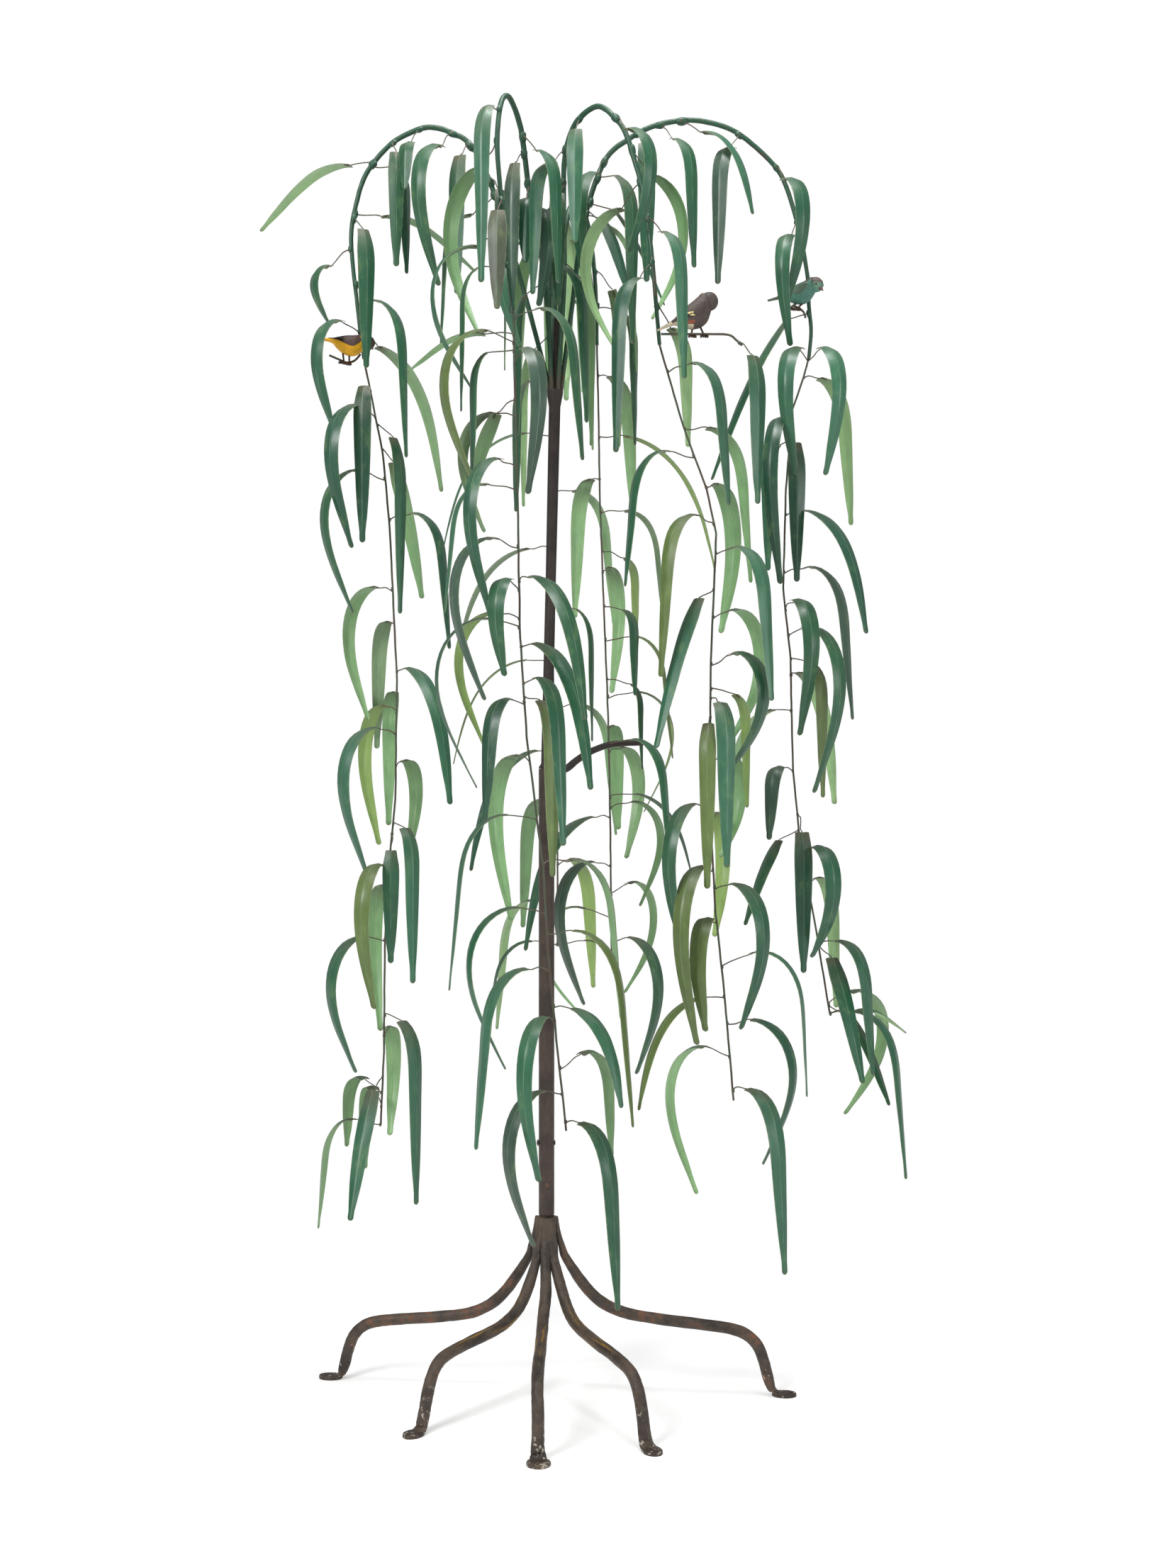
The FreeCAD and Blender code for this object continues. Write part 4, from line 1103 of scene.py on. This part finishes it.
for number, (name, out, hole, radius) in enumerate(leg_headings()):
    make_leg(name, out, hole, side_leg_material if name in ("left", "right") else leg_material, number * 7.3)
make_foot_plates(leg_material)
make_hub(hub_material)
make_post(post_material)
for node, way in (("lower_cross_pin", Vector((0, 1, 0))), ("upper_cross_pin", Vector((1, 0, 0)))):
    low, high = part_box(node)
    make_turned(node, "_turned", (low + high) / 2 - way * ((high - low).dot(way) / 2), way, pin_material, 24)
trunk_foot = POST_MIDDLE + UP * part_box("trunk_rod")[0].z
make_turned("trunk_rod", "_painted", trunk_foot, UP, trunk_material, 40)
make_side_branch(trunk_material)

roots = {}
for node in sorted(frame["nodes"]):
    if node.endswith(("_leaves", "_leaf")):
        group = node.rsplit("_", 1)[0]
        roots[group] = make_leaves(group, node, node.replace("_leaves", "_stems"))

for number, name in enumerate(("left", "front_left", "front_right", "right", "back_right", "back")):
    top = furthest("strand_" + name, UP)
    make_rod("branch_" + name, "_painted", top, BRANCH_RING, branch_material, 14, number * 3.1)
    make_rod("strand_" + name, "_wire", top, WIRE_RING, strand_material, 10, number * 5.7, 0)
for number, name in enumerate(("left", "front_right", "right")):
    top = furthest("strand_" + name, UP)
    make_rod("twig_" + name, "_wire", top, WIRE_RING, strand_material, 10, number * 2.3, 4)

# Each bird: its head's turn and nod in degrees, its paint's name and roughness, the body's colour,
# its zones, and the colours of the head and its cap
BIRDS = {
    "left": (55, -5, "yellow", 0.42, (246, 180, 26),
             [("mark", 2, (88, 66, 60)), ("zone", 0, (90, 68, 64)), ("zone", 1, (42, 28, 22))],
             (78, 58, 52), (58, 42, 36)),
    "front_right": (60, -12, "dark", 0.5, (84, 72, 66),
                    [("zone", 0, (74, 62, 56)), ("rear", 0, (44, 38, 40)), ("rear", 1, (156, 84, 56)),
                     ("rear", 2, (214, 200, 172)), ("zone", 2, (222, 202, 140))],
                    (80, 70, 64), (74, 64, 58)),
    "right": (-28, -34, "green", 0.42, (78, 128, 112),
              [("mark", 2, (88, 84, 72)), ("zone", 0, (84, 106, 90)), ("zone", 1, (78, 82, 68)),
               ("mark", 0, (92, 108, 88))],
              (100, 142, 124), (104, 92, 86)),
}
bird_details = (gloss_paint("beak_paint", (104, 72, 62), 0.4), gloss_paint("eye_paint", (18, 16, 16), 0.12),
                gloss_paint("eye_ring_paint", (156, 172, 150), 0.4))
for name, (turn, nod, tint, shine, ground, zones, head, cap) in BIRDS.items():
    node = "bird_" + name
    bird = Bird(node)
    make_bird_body(bird, node, bird_paint("bird_" + tint + "_paint", ground, zones, shine))
    head_paint = bird_paint("bird_" + tint + "_head_paint", head, [("mark", 0, cap)], shine)
    make_bird_head(bird, node, head_paint, bird_details, turn, nod)
    make_bird_feet(node + "_feet", feet_material)


# The stage: a pale floor and a white surround

FLOOR_REACH, FLOOR_DROP, FLOOR_LIFT = 30.0, 0.0003, 0.34
WORLD_LIGHT = 0.40
# Each lamp: its place, where it points, its size and its power
LAMPS = {
    "key_lamp": ((-1.9, -2.6, 3.0), (0, 0, 0.9), 1.3, 74),
    "fill_lamp": ((2.4, -2.4, 1.5), (0, 0, 0.9), 1.2, 24),
    "top_lamp": ((0.1, -0.3, 3.6), (0, 0, 0.8), 0.9, 44),
}


def make_floor():
    """A wide floor that keeps the object's shadow and turns into the white surround further out."""
    mesh = bpy.data.meshes.new("floor")
    corners = [(x * FLOOR_REACH, y * FLOOR_REACH, 0) for x, y in ((-1, -1), (1, -1), (1, 1), (-1, 1))]
    mesh.from_pydata(corners, [], [(0, 1, 2, 3)])
    floor = new_object("floor", mesh)
    floor.location.z = -FLOOR_DROP
    p = Paint("floor_white")
    far = p.node("VectorMath", {0: p.stretched(p.places(), (1, 1, 0))}, operation="LENGTH")["Value"]
    rays = p.node("LightPath", {})
    bounced = p.math("MAXIMUM", rays["Is Glossy Ray"], rays["Is Transmission Ray"])
    seen = p.math("MAXIMUM", rays["Is Camera Ray"], bounced)
    for name, value in (("Base Color", (0.90, 0.90, 0.90)), ("Roughness", 0.9), ("Specular IOR Level", 0.0)):
        p.put(p.shader.inputs[name], value)
    white = p.node("Emission", {"Color": (1, 1, 1), "Strength": 1.0})[0]
    lift = p.node("Emission", {"Color": (1, 1, 1), "Strength": p.times(seen, FLOOR_LIFT)})[0]
    near = p.node("AddShader", {0: p.shader.outputs[0], 1: lift})[0]
    mixed = p.node("MixShader", {0: p.times(p.ease(far, 0.40, 0.80), seen), 1: near, 2: white})[0]
    p.put(p.tree.nodes["Material Output"].inputs["Surface"], mixed)
    mesh.materials.append(p.material)


def make_world():
    """A plain surround: soft light on the object, and white where it is seen."""
    world = bpy.data.worlds.new("white_surround")
    bpy.context.scene.world = world
    w = Nodes(world)
    rays = w.node("LightPath", {})
    seen = w.math("MAXIMUM", rays["Is Camera Ray"], rays["Is Transmission Ray"])
    strength = w.node("MapRange", {"Value": seen, "To Min": WORLD_LIGHT, "To Max": 1.0})["Result"]
    back = w.tree.nodes["Background"].inputs
    w.put(back["Color"], (1, 1, 1))
    w.put(back["Strength"], strength)


def make_lamp(name, place, target, size, power):
    data = bpy.data.lights.new(name, "AREA")
    data.shape = "DISK"
    data.size = size
    data.energy = power
    lamp = new_object(name, data)
    lamp.location = place
    lamp.rotation_mode = "QUATERNION"
    lamp.rotation_quaternion = (Vector(target) - Vector(place)).to_track_quat("-Z", "Y")


def make_camera():
    data = bpy.data.cameras.new("camera")
    data.sensor_width = SENSOR
    data.lens = SENSOR * CAMERA_DISTANCE * 1000 / PHOTO_HEIGHT
    camera = new_object("camera", data)
    camera.location = POST_MIDDLE + Vector((CAMERA_RIGHT, -CAMERA_DISTANCE, CAMERA_HEIGHT))
    camera.rotation_euler = (pi / 2, 0, 0)
    bpy.context.scene.camera = camera


make_floor()
make_world()
for name, lamp in LAMPS.items():
    make_lamp(name, *lamp)
make_camera()
bpy.context.scene.view_settings.view_transform = "Standard"
